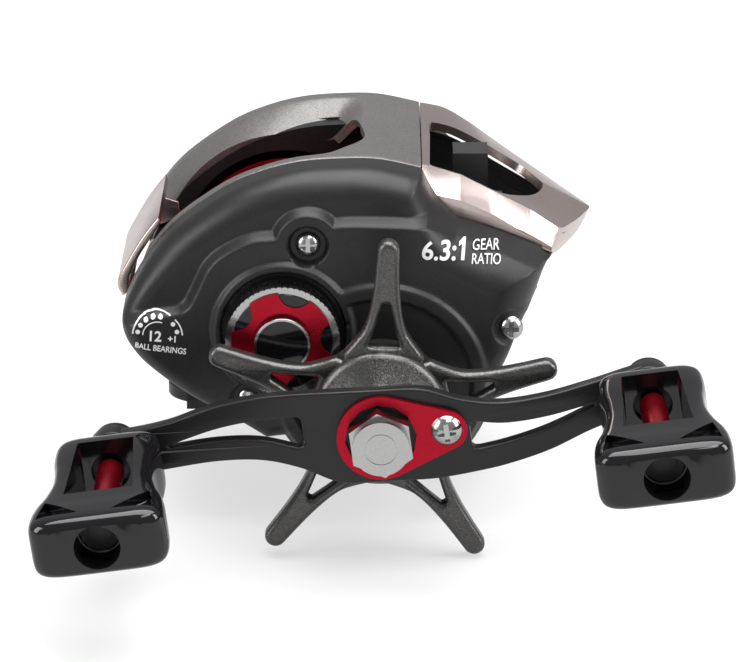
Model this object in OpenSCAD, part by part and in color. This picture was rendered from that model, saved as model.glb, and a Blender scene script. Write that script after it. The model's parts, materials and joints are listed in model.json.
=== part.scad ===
// Low-profile baitcasting reel.
// X points to the rod tip, Z up from the rod seat, and the handle is on the -Y side.
// The origin is the middle of the foot's underside.

/* [Shaft positions] */
// Spool axis, ahead of the middle of the foot
spool_x = -8.5; // [-9.5:0.5:-7.5]
// Spool axis above the rod seat
spool_z = 22.5; // [22:0.5:24]
// Handle shaft axis, ahead of the middle of the foot
drive_x = 9; // [8:0.5:10]
// Handle shaft axis above the rod seat
drive_z = 12; // [11:0.5:12.5]
// Level wind worm axis, ahead of the middle of the foot
worm_x = 24.5; // [24:0.5:25.5]
// Level wind worm axis above the rod seat
worm_z = 27; // [26:0.5:28]

/* [Frame] */
// Space between the side plates, where the spool turns
spool_space = 26; // [22:0.5:32]
// How far the spool space sits towards the palm side
body_shift = 1; // [0:0.5:2]
// Thickness of each side plate
plate_t = 3.5; // [3:0.25:4.5]
// How far the side plates stay inside the outline of the covers
plate_inset = 2.8; // [2.6:0.1:3.4]
// Radius of the hole in the palm-side plate that the spool comes out of
spool_door_r = 20.4; // [20.2:0.1:21]
// Thickness of the cross bars
bar_t = 4; // [3:0.5:5]

/* [Foot] */
// Length of the foot along the rod
foot_l = 62; // [55:1:75]
// Width of the foot
foot_w = 14; // [12:0.5:16]
// Thickness of the foot
foot_t = 2.2; // [1.8:0.1:2.6]

/* [Covers] */
// Depth of the gear room inside the handle-side cover
gear_room = 11; // [10.5:0.25:13]
// Wall of the side covers
cover_wall = 1.8; // [1.5:0.1:2.2]
// How far the lower face of the handle-side cover stands proud of the upper
face_step = 2.4; // [1.5:0.1:3]
// How far the round gear housing stands proud of the face
housing_step = 1.4; // [1:0.1:2]
// Depth of the palm-side cover
palm_depth = 10; // [9:0.5:13]
// Wall of the thumb rest hood and the nose cover
hood_t = 2.2; // [1.8:0.1:2.5]
// Length that the nose cover reaches ahead of the foot's middle
nose_reach = 48; // [46:0.5:52]

/* [Spool] */
// Radius of the spool flanges
spool_r = 19; // [18:0.25:19.8]
// Radius of the arbor that the line winds on
arbor_r = 12; // [10:0.5:14]
// Thickness of the spool flanges
flange_t = 1.2; // [1:0.1:1.6]
// Side clearance of the spool to each plate
spool_gap = 0.6; // [0.4:0.1:1]
// Radius of the spool shaft
spool_shaft_r = 1.6; // [1.5:0.05:1.8]

/* [Gears] */
// Teeth of the main gear
main_teeth = 63; // [56:1:71]
// Teeth of the pinion
pinion_teeth = 10; // [10:1:10]
// Teeth of the level wind drive gear
cog_teeth = 40; // [40:1:40]
// Teeth of the gear on the worm
worm_teeth = 16; // [16:1:16]
// Width of the main gear
main_gear_w = 3.4; // [3:0.1:4]

/* [Handle] */
// Distance between the two knob spindles
handle_span = 95; // [80:1:110]
// Thickness of the handle plate
handle_t = 2.6; // [2:0.1:3]
// Width of the upper bar of the handle
upper_bar_w = 3.9; // [3:0.1:4.4]
// Width of the lower bar of the handle
lower_bar_w = 4.2; // [3.6:0.1:4.6]
// How far the ends of the handle bend back towards the reel
handle_sweep = 6.5; // [3:0.5:8]
// Tilt of the handle at rest
handle_tilt = -7.5; // [-20:0.5:20]
// Radius of the handle nut across its flats
nut_flat_r = 5.2; // [5:0.1:5.6]
// Radius of the drive shaft
drive_r = 3.4; // [3.2:0.1:3.8]
// Radius of the knob spindles
spindle_r = 2; // [1.8:0.1:2.3]
// Width of the knobs
knob_w = 23; // [20:0.5:26]
// Length of the knobs
knob_l = 39; // [34:0.5:42]
// Thickness of the knobs
knob_h = 12; // [11.5:0.5:14]

/* [Star drag] */
// Length of the hub of the star wheel
star_hub_l = 12; // [9:0.5:13]
// Radius at the tips of the star wheel
star_r = 32.2; // [28:0.2:34]
// Number of arms on the star wheel
star_arms = 5; // [3:1:6]
// Radius of the hub of the star wheel
star_hub_r = 12; // [10:0.25:13]

/* [Tension knob and brake dial] */
// Radius of the cast tension knob
tension_r = 10.2; // [9.5:0.1:11]
// Radius of the magnetic brake dial
dial_r = 13; // [11:0.5:14]

/* [Travel] */
// How far the thumb bar presses down
thumb_travel = 4; // [3:0.5:5]
// How far the clutch lifts the pinion off the spool pin
pinion_lift = 1.8; // [1.5:0.1:2]
// How far the line guide slides each way
guide_travel = 8; // [6:0.5:9]

/* [Hidden] */
$fn = 72;

// Gap between pieces that only lie next to each other
slip = 0.3;
// Radial gap of a shaft in its bearing
run = 0.04;
// Gap that keeps two flat faces from binding
face_gap = 0.15;
near_in = body_shift - spool_space / 2;
far_in = body_shift + spool_space / 2;
near_out = near_in - plate_t;
far_out = far_in + plate_t;
cover_in = near_out - gear_room;
face_y = cover_in - cover_wall;
face_upper = face_y + face_step;
housing_y = face_y - housing_step;
palm_in = far_out + palm_depth;
palm_y = palm_in + cover_wall;
centres = norm([drive_x - spool_x, drive_z - spool_z]);
mesh_angle = atan2(spool_z - drive_z, spool_x - drive_x);
gear_module = 2 * centres / (main_teeth + pinion_teeth);
main_pitch_r = gear_module * main_teeth / 2;
main_outer_r = main_pitch_r + 0.85 * gear_module;
worm_centres = norm([worm_x - drive_x, worm_z - drive_z]);
worm_angle = atan2(worm_z - drive_z, worm_x - drive_x);
cog_module = 2 * worm_centres / (cog_teeth + worm_teeth);
housing_r = main_outer_r + cover_wall + 0.2;
// Outline of both side covers, measured from the spool axis
back_line = [[-3.3, -21.8], [-9.1, -18.1], [-17.2, -13.5], [-24.4, -7.9], [-27.9, -3.6], [-29.1, 0],
    [-28.7, 3], [-25.7, 9], [-20.2, 16], [-11.1, 22.7], [-4, 25.9], [3.1, 27.7], [11.1, 28.3],
    [17.5, 28.1], [24.8, 26.5]];
notch_line = [[24.8, 26.5], [26.8, 22.6], [29.2, 19.2], [31.3, 17.2]];
front_line = [[31.3, 17.2], [38.8, 14.9], [48.2, 10.8], [47.2, 9], [44.8, 2.8], [41.5, -3.5],
    [39.7, -7.7], [35, -17]];
// Line where the lower face of the handle-side cover steps proud, from the spool axis
step_line = [[-30, 1.2], [-24, 3.2], [-18.6, 4.2], [-16.8, 6.7], [-15.5, 9.5], [-14.1, 12.2],
    [-11.3, 14.9], [-5.9, 17.6], [0, 18.4], [10.5, 20.6], [26, 20.2]];
// Smooth open curve through points, with n steps from each point to the next
function curve(p, n) = [for (i = [0 : len(p) - 2]) for (j = [0 : n - 1])
    let (t = j / n, a = p[max(i - 1, 0)], b = p[i], c = p[i + 1], d = p[min(i + 2, len(p) - 1)])
    (2 * b + (c - a) * t + (2 * a - 5 * b + 4 * c - d) * t * t + (3 * b - a - 3 * c + d) * t * t * t) / 2];
// Places of the screws that hold the handle-side cover
screw_spots = [[spool_x + 4.5, spool_z + 15.8], [spool_x + 40.9, spool_z], [spool_x - 6.5, spool_z - 13.5]];
screw_head_r = 2.3;
screw_shank_r = 1.2;
screw_boss_r = 2.1;
palm_screw_spots = [[spool_x - 22, spool_z + 3], [spool_x + 20, spool_z + 20], [spool_x + 17, spool_z - 15]];
// Cross bars of the frame as [X, Z] centres, [length, height] and their lean
bar_rear = [spool_x - 21.3, spool_z - 8.5];
bar_top = [spool_x + 21, spool_z + 21.5];
bar_low = [worm_x + 1, worm_z - 15.5];
// Top face of the foot, which carries the frame
seat_z = foot_t;
floor_t = 1.8;
rivet_spots = [[-17, 0], [-5, 0], [7, 0], [19, 0]];
rivet_r = 1.3;
// Bore of the collar around the tension knob, and of the drive tube
collar_r = tension_r + 2.1;
collar_bore_r = tension_r + 0.5;
tube_end = housing_y - 5;
horseshoe_r = 6;
tension_thread_r = 6;
// The hood spans from the handle-side plate over the palm-side plate
hood_rear_x = spool_x - 22.8;
hood_front_x = spool_x + 24.6;
hood_end = palm_y - 3;
opening_front_x = spool_x + 11;
rim_w = 3.2;
// Outline of the nose from the spool axis: its roof, its tip and its front wall
nose_dx = nose_reach - spool_x;
nose_roof = [[25, 26.4], [30.7, 25.4], [36.4, 22.9], [42.1, 19.4], [47.9, 15.7], [nose_dx, 10.6]];
nose_wall = [[nose_dx, 10.6], [nose_dx - 1.4, 6.6], [nose_dx - 5, -0.5], [nose_dx - 9.5, -8]];
nose_side_y = near_out;
nose_front_side_x = spool_x + 48.2;
nose_mid_y = body_shift + 4;
nose_bow = (nose_reach - nose_front_side_x) / (nose_mid_y - nose_side_y);
nose_near_drop = 4.4;
nose_steps = 16;
// Section of the nose wall: outside line, then the inside line back again
nose_skin = concat(curve(nose_roof, 3), curve(nose_wall, 3), [nose_wall[3]]);
nose_roof_lining = [[25, 24.6], [30, 23.7], [35.4, 21.4], [40.9, 18.1], [46.3, 14.2], [nose_dx - 2.6, 9.9]];
nose_wall_lining = [[nose_dx - 2.6, 9.9], [nose_dx - 3.4, 6.8], [nose_dx - 6.9, 0.2], [nose_dx - 11.2, -7.2]];
nose_lining = concat(curve(nose_roof_lining, 3), curve(nose_wall_lining, 3), [nose_wall_lining[3]]);
nose_section = concat(nose_skin, [for (i = [len(nose_lining) - 1 : -1 : 0]) nose_lining[i]]);
// Ring of the sweep at step i, bowed forward in the middle and lowered beside the handle-side cover
function nose_ring(i) = let (y = nose_side_y + (hood_end - nose_side_y) * i / nose_steps,
    near = max(0, 1 - (y - nose_side_y) / 7))
    [for (q = nose_section) [spool_x + q.x - nose_bow * abs(y - nose_mid_y) * min(1, (q.x - 25) / 14), y,
        spool_z + q.y - nose_near_drop * near * near]];
// Plan of the window over the line guide
window_rear_x = spool_x + 26.5;
window_front_x = spool_x + 47.5;
brake_boss_r = 6;
palm_bearing_r = 4;
palm_bearing_w = 2.5;
palm_bearing_y = palm_in - 6;
pinion_seat_r = 6;
tail_bearing_r = 4;
tail_bearing_w = 2.5;
tail_bearing_y = cover_in - 0.4;
drive_bearing_r = 6;
tube_r = drive_bearing_r + 1.6;
sleeve_r = drive_r + 0.8;
clutch_y0 = tube_end + 0.4;
clutch_y1 = cover_in - 0.4;
// The dial turns in a round recess of the palm-side cover
dial_post_r = 3;
dial_face_y = palm_y + 1.6;
pinion_neck_r = 2.9;
pinion_y0 = cover_in + 1.4 + pinion_lift;
pinion_gear_y1 = near_out - 1.6;
pin_y = near_in - 0.2;
yoke_groove_r = 3;
yoke_y0 = pinion_gear_y1 + 0.6;
yoke_t = 0.8;
pin_spots = [[spool_x - 9, spool_z + 4], [spool_x + 5.6, spool_z + 9.2]];
// The thumb bar crosses the reel behind the spool and slides down along its own slope
bar_slope = 63;
thumb_dir = [-cos(bar_slope), 0, -sin(bar_slope)];
thumb_line = [[-23.3, 16.5], [-26.5, 12.3], [-29.2, 7.5], [-31, 3.2], [-30, 0.4]];
thumb_in = [[-28.2, 1.6], [-28.6, 4], [-26.6, 8], [-24.2, 12], [-21.6, 15.2]];
thumb_pin = [-21.8, 8.6];
thumb_pin_r = 1;
lug_t = 0.9;
guide_rod_r = 1.2;
guide_rod_dx = 3.7;
guide_rod_dz = -8.6;
worm_bush_r = 3.6;
worm_r = 2.6;
guard_r = 4.2;
worm_end_r = 2;
worm_gear_w = 1.6;
worm_gear_y = near_out - 1.1;
guide_y = body_shift;
guide_w = min(7, spool_space - 2 * guide_travel - 2.4);
eye_r = 2.6;
eye_dz = 7.7;
guide_top_z = worm_z + 20.5;
pawl_r = 1.5;
main_gear_y = cover_in + 4.4;
washer_r = main_outer_r - 3.4;
washer_t = 0.65;
washer_y1 = main_gear_y - 0.4;
washer_y0 = washer_y1 - 2 * washer_t;
plate_y0 = washer_y0 - 0.9;
cog_y = near_out - 1.1;
cog_w = 1.2;
thread_r = 2.8;
// Planes along the handle shaft, outwards from the gear housing
star_y1 = tube_end - 1.2;
star_y0 = star_y1 - star_hub_l;
handle_y1 = star_y0 - 2.6;
handle_y0 = handle_y1 - handle_t;
star_turn = 87.5;
star_arm_t = 3.6;
star_arm_y = (star_y0 + star_y1) / 2 + 0.6;
star_nut_r = 6.8;
hub_half = 8.6;
sweep_angle = asin(handle_sweep / (handle_span / 2 - hub_half));
end_y0 = handle_y0 + handle_sweep - 0.9;
end_y1 = handle_y1 + handle_sweep + 0.5;
boss_r = 4.6;
slot_end = handle_span / 2 - 10.5;
// Stations along each side of the handle, between its hub and the end of its slot
bar_x = [for (share = [0.214, 0.448, 0.716]) hub_half + share * (slot_end - hub_half)];
bar_under = [[0, -hub_half], [8, -9.2], [bar_x[0], -9.3], [bar_x[1], -9], [bar_x[2], -7.8], [slot_end, -5.4],
    [handle_span / 2 - 3, -4.2], [handle_span / 2, -boss_r]];
bar_over = [[handle_span / 2, boss_r], [handle_span / 2 - 3, 4.3], [slot_end, 3.2], [bar_x[2], 2.4],
    [bar_x[1], 2.7], [bar_x[0], 4.6], [8, 7.8], [0, hub_half]];
retainer_reach = 11.5;
retainer_r = 7.7;
retainer_t = 1;
retainer_screw_r = 1.2;
nut_h = 4.4;
drive_end = handle_y0 - nut_h + 0.6;
cap_h = 1.6;
cap_r = 4.95;
sleeve_out_r = 2.9;
knob_y1 = end_y0 - 0.3;
knob_y0 = knob_y1 - knob_l;
knob_bridge = 12.5;
knob_inner_wall = 6;
knob_flare = knob_l - knob_bridge + 1.5;
spindle_head_t = 2.4;
spindle_end = knob_y0 + 6.4;
bush_r = 3.4;
tension_y1 = face_y - 1.4;
tension_y0 = tension_y1 - 4.4;
insert_y0 = tension_y0 - 0.5;
cap_inner_r = 5;

// Extrudes a shape drawn in X and Z from y0 to y1
module slab(y0, y1) {
    rotate([90, 0, 0])
        translate([0, 0, -y1])
            linear_extrude(y1 - y0)
                children();
}

module rod_y(r, y0, y1, sides = 72) {
    rotate([90, 0, 0])
        translate([0, 0, -y1])
            cylinder(r = r, h = y1 - y0, $fn = sides);
}

module tube_y(r, bore, y0, y1) {
    difference() {
        rod_y(r, y0, y1);
        rod_y(bore, y0 - 1, y1 + 1);
    }
}

module at_spool() {
    translate([spool_x, 0, spool_z])
        children();
}

module at_drive() {
    translate([drive_x, 0, drive_z])
        children();
}

module at_worm() {
    translate([worm_x, 0, worm_z])
        children();
}

module body_outline() {
    at_spool_2d()
        polygon(concat(curve(back_line, 4), curve(notch_line, 4), curve(front_line, 3)));
    at_drive_2d()
        circle(housing_r);
}

module at_spool_2d() {
    translate([spool_x, spool_z])
        children();
}

module at_drive_2d() {
    translate([drive_x, drive_z])
        children();
}

module at_spots(spots) {
    for (s = spots)
        translate([s.x, 0, s.y])
            children();
}

// Spur gear about the Y axis, with a tooth centred on angle "from"
module gear(teeth, pitch_module, width, bore, from) {
    pitch_r = teeth * pitch_module / 2;
    root_r = pitch_r - 1.1 * pitch_module;
    tip_r = pitch_r + 0.8 * pitch_module;
    half = 360 / teeth;
    slab(-width / 2, width / 2)
        difference() {
            polygon([for (i = [0 : teeth - 1]) for (c = [[root_r, -0.27], [tip_r, -0.11], [tip_r, 0.11],
                [root_r, 0.27]]) let (a = from + (i + c.y) * half) c.x * [cos(a), sin(a)]]);
            circle(bore);
        }
}

module pan_screw(y_under, y_end, head_r, shank_r, cross) {
    dome = head_r * 0.55;
    difference() {
        union() {
            intersection() {
                translate([0, y_under + head_r * 1.1 - dome, 0])
                    sphere(r = head_r * 1.1 + 0.02);
                rod_y(head_r, y_under - dome, y_under);
            }
            rod_y(shank_r, y_under - 0.1, y_end);
        }
        for (turn = [0, 90])
            rotate([0, turn, 0])
                translate([-cross / 2, y_under - 2 * dome, -cross / 7])
                    cube([cross, 1.6 * dome, cross / 3.5]);
    }
}

module frame() {
    color("dimgray") {
        difference() {
            union() {
                slab(near_out, near_in)
                    offset(delta = -plate_inset)
                        body_outline();
                slab(far_in, far_out) {
                    offset(delta = -plate_inset)
                        body_outline();
                    nose_fill(far_out);
                }
            }
            at_spool() {
                rod_y(pinion_seat_r, near_out - 1, near_in + 1);
                rod_y(spool_door_r, far_in - 1, far_out + 1);
            }
            at_drive()
                rod_y(drive_bearing_r, near_out - 1, near_in + 1);
            at_worm() {
                rod_y(worm_bush_r, near_out - 1, near_in + 1);
                rod_y(worm_bush_r, far_in - 1, far_out + 1);
                translate([guide_rod_dx, 0, guide_rod_dz])
                    rod_y(guide_rod_r, near_out + 1.5, far_out - 1.5);
            }
            at_spots(screw_spots)
                rod_y(screw_shank_r, near_out - 1, near_in + 1);
            at_spots(palm_screw_spots)
                rod_y(screw_shank_r, far_in - 1, far_out + 1);
            thumb_slots();
            translate([-foot_l, near_out - 1, -40])
                cube([2 * foot_l, far_out - near_out + 2, 40 + seat_z]);
        }
        for (b = [bar_rear, bar_low, bar_top])
            translate([b.x - bar_t / 2, near_in, b.y - bar_t / 2])
                cube([bar_t, far_in - near_in, bar_t]);
        floor_plate();
    }
}

module floor_plate() {
    difference() {
        translate([bar_rear.x + 3, near_out, seat_z])
            cube([bar_low.x - bar_rear.x, far_out - near_out, floor_t]);
        at_spool()
            rod_y(spool_r + 0.8, near_in, far_out + 1);
        for (s = rivet_spots)
            translate([s.x, s.y, 0])
                cylinder(r = rivet_r, h = 20);
    }
}

module reel_foot() {
    end_r = foot_w / 2;
    color("dimgray")
        difference() {
            linear_extrude(foot_t)
                hull()
                    for (side = [-1, 1])
                        translate([side * (foot_l / 2 - end_r), 0])
                            circle(end_r);
            for (s = rivet_spots)
                translate([s.x, s.y, -1])
                    cylinder(r = rivet_r, h = foot_t + 2);
            for (side = [-1, 1])
                translate([side * foot_l / 2, 0, foot_t])
                    rotate([0, side * 12, 0])
                        translate([-8, -foot_w, 0])
                            cube([16, 2 * foot_w, 4]);
        }
}

module foot_rivets() {
    color("silver")
        for (s = rivet_spots)
            translate([s.x, s.y, 0.1])
                cylinder(r = rivet_r, h = foot_t + floor_t - 0.2);
}

module cover_face_outline() {
    intersection() {
        offset(delta = -0.6)
            body_outline();
        union() {
            at_spool_2d()
                polygon(concat(curve(step_line, 4), [[26, 20.2], [60, 5], [60, -60], [-60, -60], [-60, -8]]));
            at_drive_2d()
                circle(housing_r);
        }
    }
}

module handle_side_cover() {
    color([0.16, 0.16, 0.17])
        difference() {
            union() {
                slab(face_upper, near_out)
                    body_outline();
                slab(face_y, face_upper)
                    cover_face_outline();
                at_drive()
                    rod_y(housing_r - 0.8, housing_y, face_y);
                at_drive()
                    rod_y(tube_r, tube_end, housing_y);
                at_spool() {
                    rod_y(collar_r, face_y - 1.2, face_upper);
                    rod_y(tension_thread_r, face_y - 3.2, face_upper);
                }
                translate([screw_spots[0].x, 0, screw_spots[0].y])
                    rod_y(horseshoe_r, face_y, face_upper);
            }
            difference() {
                union() {
                    slab(face_upper + cover_wall, near_out + 1)
                        offset(delta = -cover_wall)
                            body_outline();
                    slab(cover_in, near_out)
                        offset(delta = -cover_wall)
                            cover_face_outline();
                    at_drive()
                        rod_y(main_outer_r + 0.5, cover_in, near_out + 1);
                }
                at_spots(screw_spots)
                    rod_y(screw_boss_r, cover_in - 1, near_out + 1);
            }
            at_drive() {
                rod_y(drive_bearing_r, tube_end - 1, cover_in + 1);
                tube_y(housing_r - 2.4, housing_r - 3.4, housing_y - 1, housing_y + 0.7);
            }
            at_spool() {
                tube_y(collar_bore_r, tension_thread_r, face_y - 4, face_y + 0.8);
                rod_y(tail_bearing_r, face_y - 5, cover_in + 1);
            }
            at_spots(screw_spots) {
                rod_y(screw_shank_r, face_y - 1, near_out + 1);
                rod_y(screw_head_r + slip, face_y - 2, face_y + 1.2);
            }
        }
}

module cover_screws() {
    color("silver")
        at_spots(screw_spots)
            pan_screw(face_y + 1.2, near_in - 0.5, screw_head_r, screw_shank_r - run, 2.8);
}

module thumb_rest_hood() {
    color([0.36, 0.35, 0.34])
        difference() {
            slab(near_out, hood_end)
                intersection() {
                    difference() {
                        body_outline();
                        offset(delta = -hood_t)
                            body_outline();
                    }
                    translate([hood_rear_x, spool_z + 9])
                        square([hood_front_x - hood_rear_x, 40]);
                }
            difference() {
                translate([hood_rear_x - 1, near_out + rim_w, spool_z])
                    cube([opening_front_x - hood_rear_x + 1, far_in - near_out - rim_w, 60]);
            }
            at_spool()
                rod_y(spool_r + 1, near_in, far_in);
        }
}

module nose_shell() {
    n = len(nose_section);
    end = nose_steps * n;
    rings = [for (i = [0 : nose_steps]) nose_ring(i)];
    polyhedron([for (r = rings) for (q = r) q],
        concat(
            [for (j = [0 : n / 2 - 2]) for (f = [0, 1])
                f == 0 ? [j, j + 1, n - 2 - j] : [j, n - 2 - j, n - 1 - j]],
            [for (j = [0 : n / 2 - 2]) for (f = [0, 1])
                f == 0 ? [end + n - 2 - j, end + j + 1, end + j] : [end + n - 1 - j, end + n - 2 - j, end + j]],
            [for (i = [0 : nose_steps - 1]) for (j = [0 : n - 1]) for (f = [0, 1])
                let (a = i * n + j, b = i * n + (j + 1) % n)
                f == 0 ? [a, a + n, b + n] : [a, b + n, b]]));
}

// Wall that fills the room under the nose's roof, in from plane y
module nose_fill(y) {
    back = nose_bow * abs(y - nose_mid_y);
    at_spool_2d()
        polygon(concat([for (q = nose_roof_lining) [q.x - back * min(1, (q.x - 25) / 14) - 0.3, q.y - 0.5]],
            [[nose_dx - 20, 4], [hood_front_x - spool_x + 0.1, 4]]));
}

module nose_cover() {
    color([0.66, 0.6, 0.58])
        difference() {
            nose_shell();
            translate([0, 0, -20])
                linear_extrude(100)
                    polygon([[window_rear_x, near_in + 0.2], [window_front_x - 5, near_in + 0.2],
                        [window_front_x, body_shift - 2], [window_front_x - 3, far_in - 1],
                        [window_rear_x, far_in - 1]]);
            line_window();
            slab(near_out - 0.5, near_in)
                intersection() {
                    offset(delta = 0.2)
                        offset(delta = -plate_inset)
                            body_outline();
                    translate([0, -20])
                        square([60, 80]);
                }
            slab(far_in - 0.1, far_out)
                offset(delta = 0.2 - plate_inset)
                    body_outline();
            translate([0, far_out - 0.1, -20])
                palm_clear();
        }
}

// Window in the front wall, where the line leaves the reel
module line_window() {
    translate([worm_x + 8, near_in + 2, spool_z - 4])
        cube([30, far_in - near_in - 4, 10]);
}

module palm_clear() {
    translate([0, 0, 20])
        slab(0, 40)
            offset(delta = 0.15)
                palm_outline();
}

module palm_outline() {
    intersection() {
        union() {
            offset(delta = -hood_t - 0.3)
                body_outline();
            nose_fill(hood_end);
        }
        translate([-60, -60])
            square([60 + spool_x + 44, 140]);
    }
}

module palm_side_cover() {
    color([0.16, 0.16, 0.17])
        difference() {
            union() {
                slab(far_out, palm_in)
                    palm_outline();
                slab(palm_in - 0.01, palm_y)
                    offset(delta = -1)
                        palm_outline();
            }
            difference() {
                slab(far_out - 1, palm_in)
                    offset(delta = -cover_wall)
                        palm_outline();
                at_spots(palm_screw_spots)
                    rod_y(screw_boss_r, far_out - 1, palm_y);
                at_spool()
                    rod_y(brake_boss_r, palm_in - 6, palm_y);
            }
            at_spool() {
                rod_y(palm_bearing_r, palm_in - 7, palm_in - 6 + palm_bearing_w);
                tube_y(dial_r, dial_post_r, palm_y - 1, palm_y + 2);
            }
            at_spots(palm_screw_spots) {
                rod_y(screw_shank_r, far_out - 1, palm_y + 1);
                rod_y(screw_head_r + slip, palm_y - 1, palm_y + 2);
            }
        }
}

module palm_cover_screws() {
    color("silver")
        at_spots(palm_screw_spots)
            mirror([0, 1, 0])
                pan_screw(-palm_y + 1, -far_in - 0.5, screw_head_r, screw_shank_r - run, 2.8);
}

module ring_bearing(r, bore, y0, y1) {
    groove = (r - bore) * 0.28;
    difference() {
        tube_y(r, bore, y0, y1);
        tube_y(r - groove, bore + groove, y0 - 0.1, y0 + 0.3);
        tube_y(r - groove, bore + groove, y1 - 0.3, y1 + 0.1);
    }
}

module palm_spool_bearing() {
    color("silver")
        at_spool()
            ring_bearing(palm_bearing_r, spool_shaft_r + run, palm_bearing_y, palm_bearing_y + palm_bearing_w);
}

module pinion_bearing() {
    color("silver")
        at_spool()
            ring_bearing(pinion_seat_r, pinion_neck_r + run, near_out + 0.3, near_in - 0.3);
}

module spool_tail_bearing() {
    color("silver")
        at_spool()
            ring_bearing(tail_bearing_r, spool_shaft_r + run, tail_bearing_y - tail_bearing_w, tail_bearing_y);
}

module drive_bearing() {
    color("silver")
        at_drive()
            ring_bearing(drive_bearing_r, drive_r + run, near_out + 0.3, near_in - 0.3);
}

module one_way_clutch() {
    color("gray")
        at_drive()
            ring_bearing(drive_bearing_r, sleeve_r + run, clutch_y0, clutch_y1);
}

module clutch_sleeve() {
    color("silver")
        at_drive()
            tube_y(sleeve_r, drive_r, tube_end - 0.3, plate_y0);
}

module brake_dial() {
    color([0.2, 0.2, 0.21])
        at_spool()
            difference() {
                rod_y(dial_r - slip, palm_y - 1 + face_gap, dial_face_y);
                rod_y(dial_post_r + run, palm_y - 2, palm_y + face_gap);
                tube_y(dial_r - 2, dial_r - 4, dial_face_y - 0.5, dial_face_y + 1);
                for (i = [0 : 23])
                    rotate([0, i * 15, 0])
                        translate([dial_r - slip, 0, 0])
                            rod_y(0.5, palm_y, dial_face_y + 1, 24);
            }
}

module brake_plate() {
    color("gray")
        at_spool()
            difference() {
                tube_y(11, brake_boss_r + 0.2, palm_in - 2.2, palm_in);
                for (i = [0 : 5])
                    rotate([0, i * 60, 0])
                        translate([8.6, 0, 0])
                            rod_y(1.5, palm_in - 3, palm_in - 1.2, 32);
            }
}

module spool() {
    inner = near_in + spool_gap;
    outer = far_in - spool_gap;
    color([0.55, 0.04, 0.1])
        at_spool()
            difference() {
                rotate([90, 0, 0])
                    rotate_extrude()
                        polygon([[spool_shaft_r, -outer], [spool_r, -outer], [spool_r, -outer + flange_t],
                            [arbor_r + 1, -outer + flange_t + 0.8], [arbor_r, -outer + flange_t + 2],
                            [arbor_r, -inner - flange_t - 2], [arbor_r + 1, -inner - flange_t - 0.8],
                            [spool_r, -inner - flange_t], [spool_r, -inner], [spool_shaft_r, -inner]]);
                tube_y(arbor_r - 1.5, 5, outer - 8, outer + 1);
                tube_y(arbor_r - 1.5, 5, inner - 1, inner + 6);
                for (i = [0 : 7])
                    rotate([0, i * 45, 0])
                        translate([arbor_r + 3.6, 0, 0])
                            rod_y(1.6, inner - 1, outer + 1, 32);
            }
}

module spool_shaft() {
    color("silver")
        at_spool()
            difference() {
                rod_y(spool_shaft_r, tail_bearing_y - tail_bearing_w, palm_bearing_y + palm_bearing_w);
                spool_pin_rod(6);
            }
}

// Cross pin of the spool shaft, which drops into the slots in the end of the pinion
module spool_pin_rod(length) {
    translate([0, pin_y, 0])
        rotate([0, 90, 0])
            cylinder(r = 0.45, h = length, center = true, $fn = 36);
}

module spool_pin() {
    color("silver")
        at_spool()
            spool_pin_rod(2 * pinion_neck_r - 0.4);
}

module pinion() {
    mid = (pinion_y0 + pinion_gear_y1) / 2;
    color("goldenrod")
        at_spool()
            difference() {
                union() {
                    translate([0, mid, 0])
                        gear(pinion_teeth, gear_module, pinion_gear_y1 - pinion_y0, spool_shaft_r + 0.3,
                            mesh_angle + 180 + 180 / pinion_teeth);
                    tube_y(pinion_neck_r, spool_shaft_r + 0.3, pinion_gear_y1 - 0.01, near_in + 0.3);
                    tube_y(yoke_groove_r + 1, spool_shaft_r + 0.3, pinion_gear_y1 - 0.01, pinion_gear_y1 + 0.4);
                }
                for (turn = [0, 90])
                    rotate([0, turn, 0])
                        translate([-4, pin_y - 0.7, -0.65])
                            cube([8, 3, 1.3]);
            }
}

module clutch_spring_pins() {
    color("silver")
        at_spots(pin_spots)
            rod_y(0.7, yoke_y0 - 3, near_out, 32);
}

module clutch_yoke() {
    color("gray")
        slab(yoke_y0, yoke_y0 + yoke_t)
            difference() {
                union() {
                    hull()
                        for (s = pin_spots)
                            translate([s.x, s.y])
                                circle(2.4, $fn = 32);
                    at_spool_2d()
                        circle(5.6);
                }
                at_spool_2d() {
                    circle(pinion_neck_r + 0.2);
                    rotate(mesh_angle + 180)
                        translate([pinion_neck_r - 1.2, -12])
                            square([12, 24]);
                }
                for (s = pin_spots)
                    translate([s.x, s.y])
                        circle(0.7 + run, $fn = 32);
            }
}

module thumb_bar() {
    color([0.7, 0.63, 0.6])
        at_spool()
            difference() {
                union() {
                    slab(near_in + slip, far_in - slip)
                        polygon(concat(curve(thumb_line, 4), [thumb_line[4]], curve(thumb_in, 4), [thumb_in[4]]));
                    for (y = [near_in + slip, far_in - slip - lug_t])
                        slab(y, y + lug_t)
                            polygon([[-27, 5], [-22.6, 6.6], [-20.4, 8], [-20.8, 10.4], [-24.4, 11.6]]);
                }
                translate([thumb_pin.x, 0, thumb_pin.y])
                    rod_y(thumb_pin_r, near_in - 1, far_in + 1);
            }
}

// Pins on both ends of the thumb bar, which slide in slots of the side plates
module thumb_bar_pins() {
    color("silver")
        at_spool()
            translate([thumb_pin.x, 0, thumb_pin.y])
                for (y = [near_in - 2, far_in - slip - lug_t])
                    rod_y(thumb_pin_r, y, y + 2 + slip + lug_t);
}

module thumb_slots() {
    at_spool()
        for (y = [near_in - 2.3, far_in - 0.1])
            slab(y, y + 2.4)
                hull()
                    for (way = [0, thumb_travel])
                        translate([thumb_pin.x + way * thumb_dir.x, thumb_pin.y + way * thumb_dir.z])
                            circle(thumb_pin_r + run);
}

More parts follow.
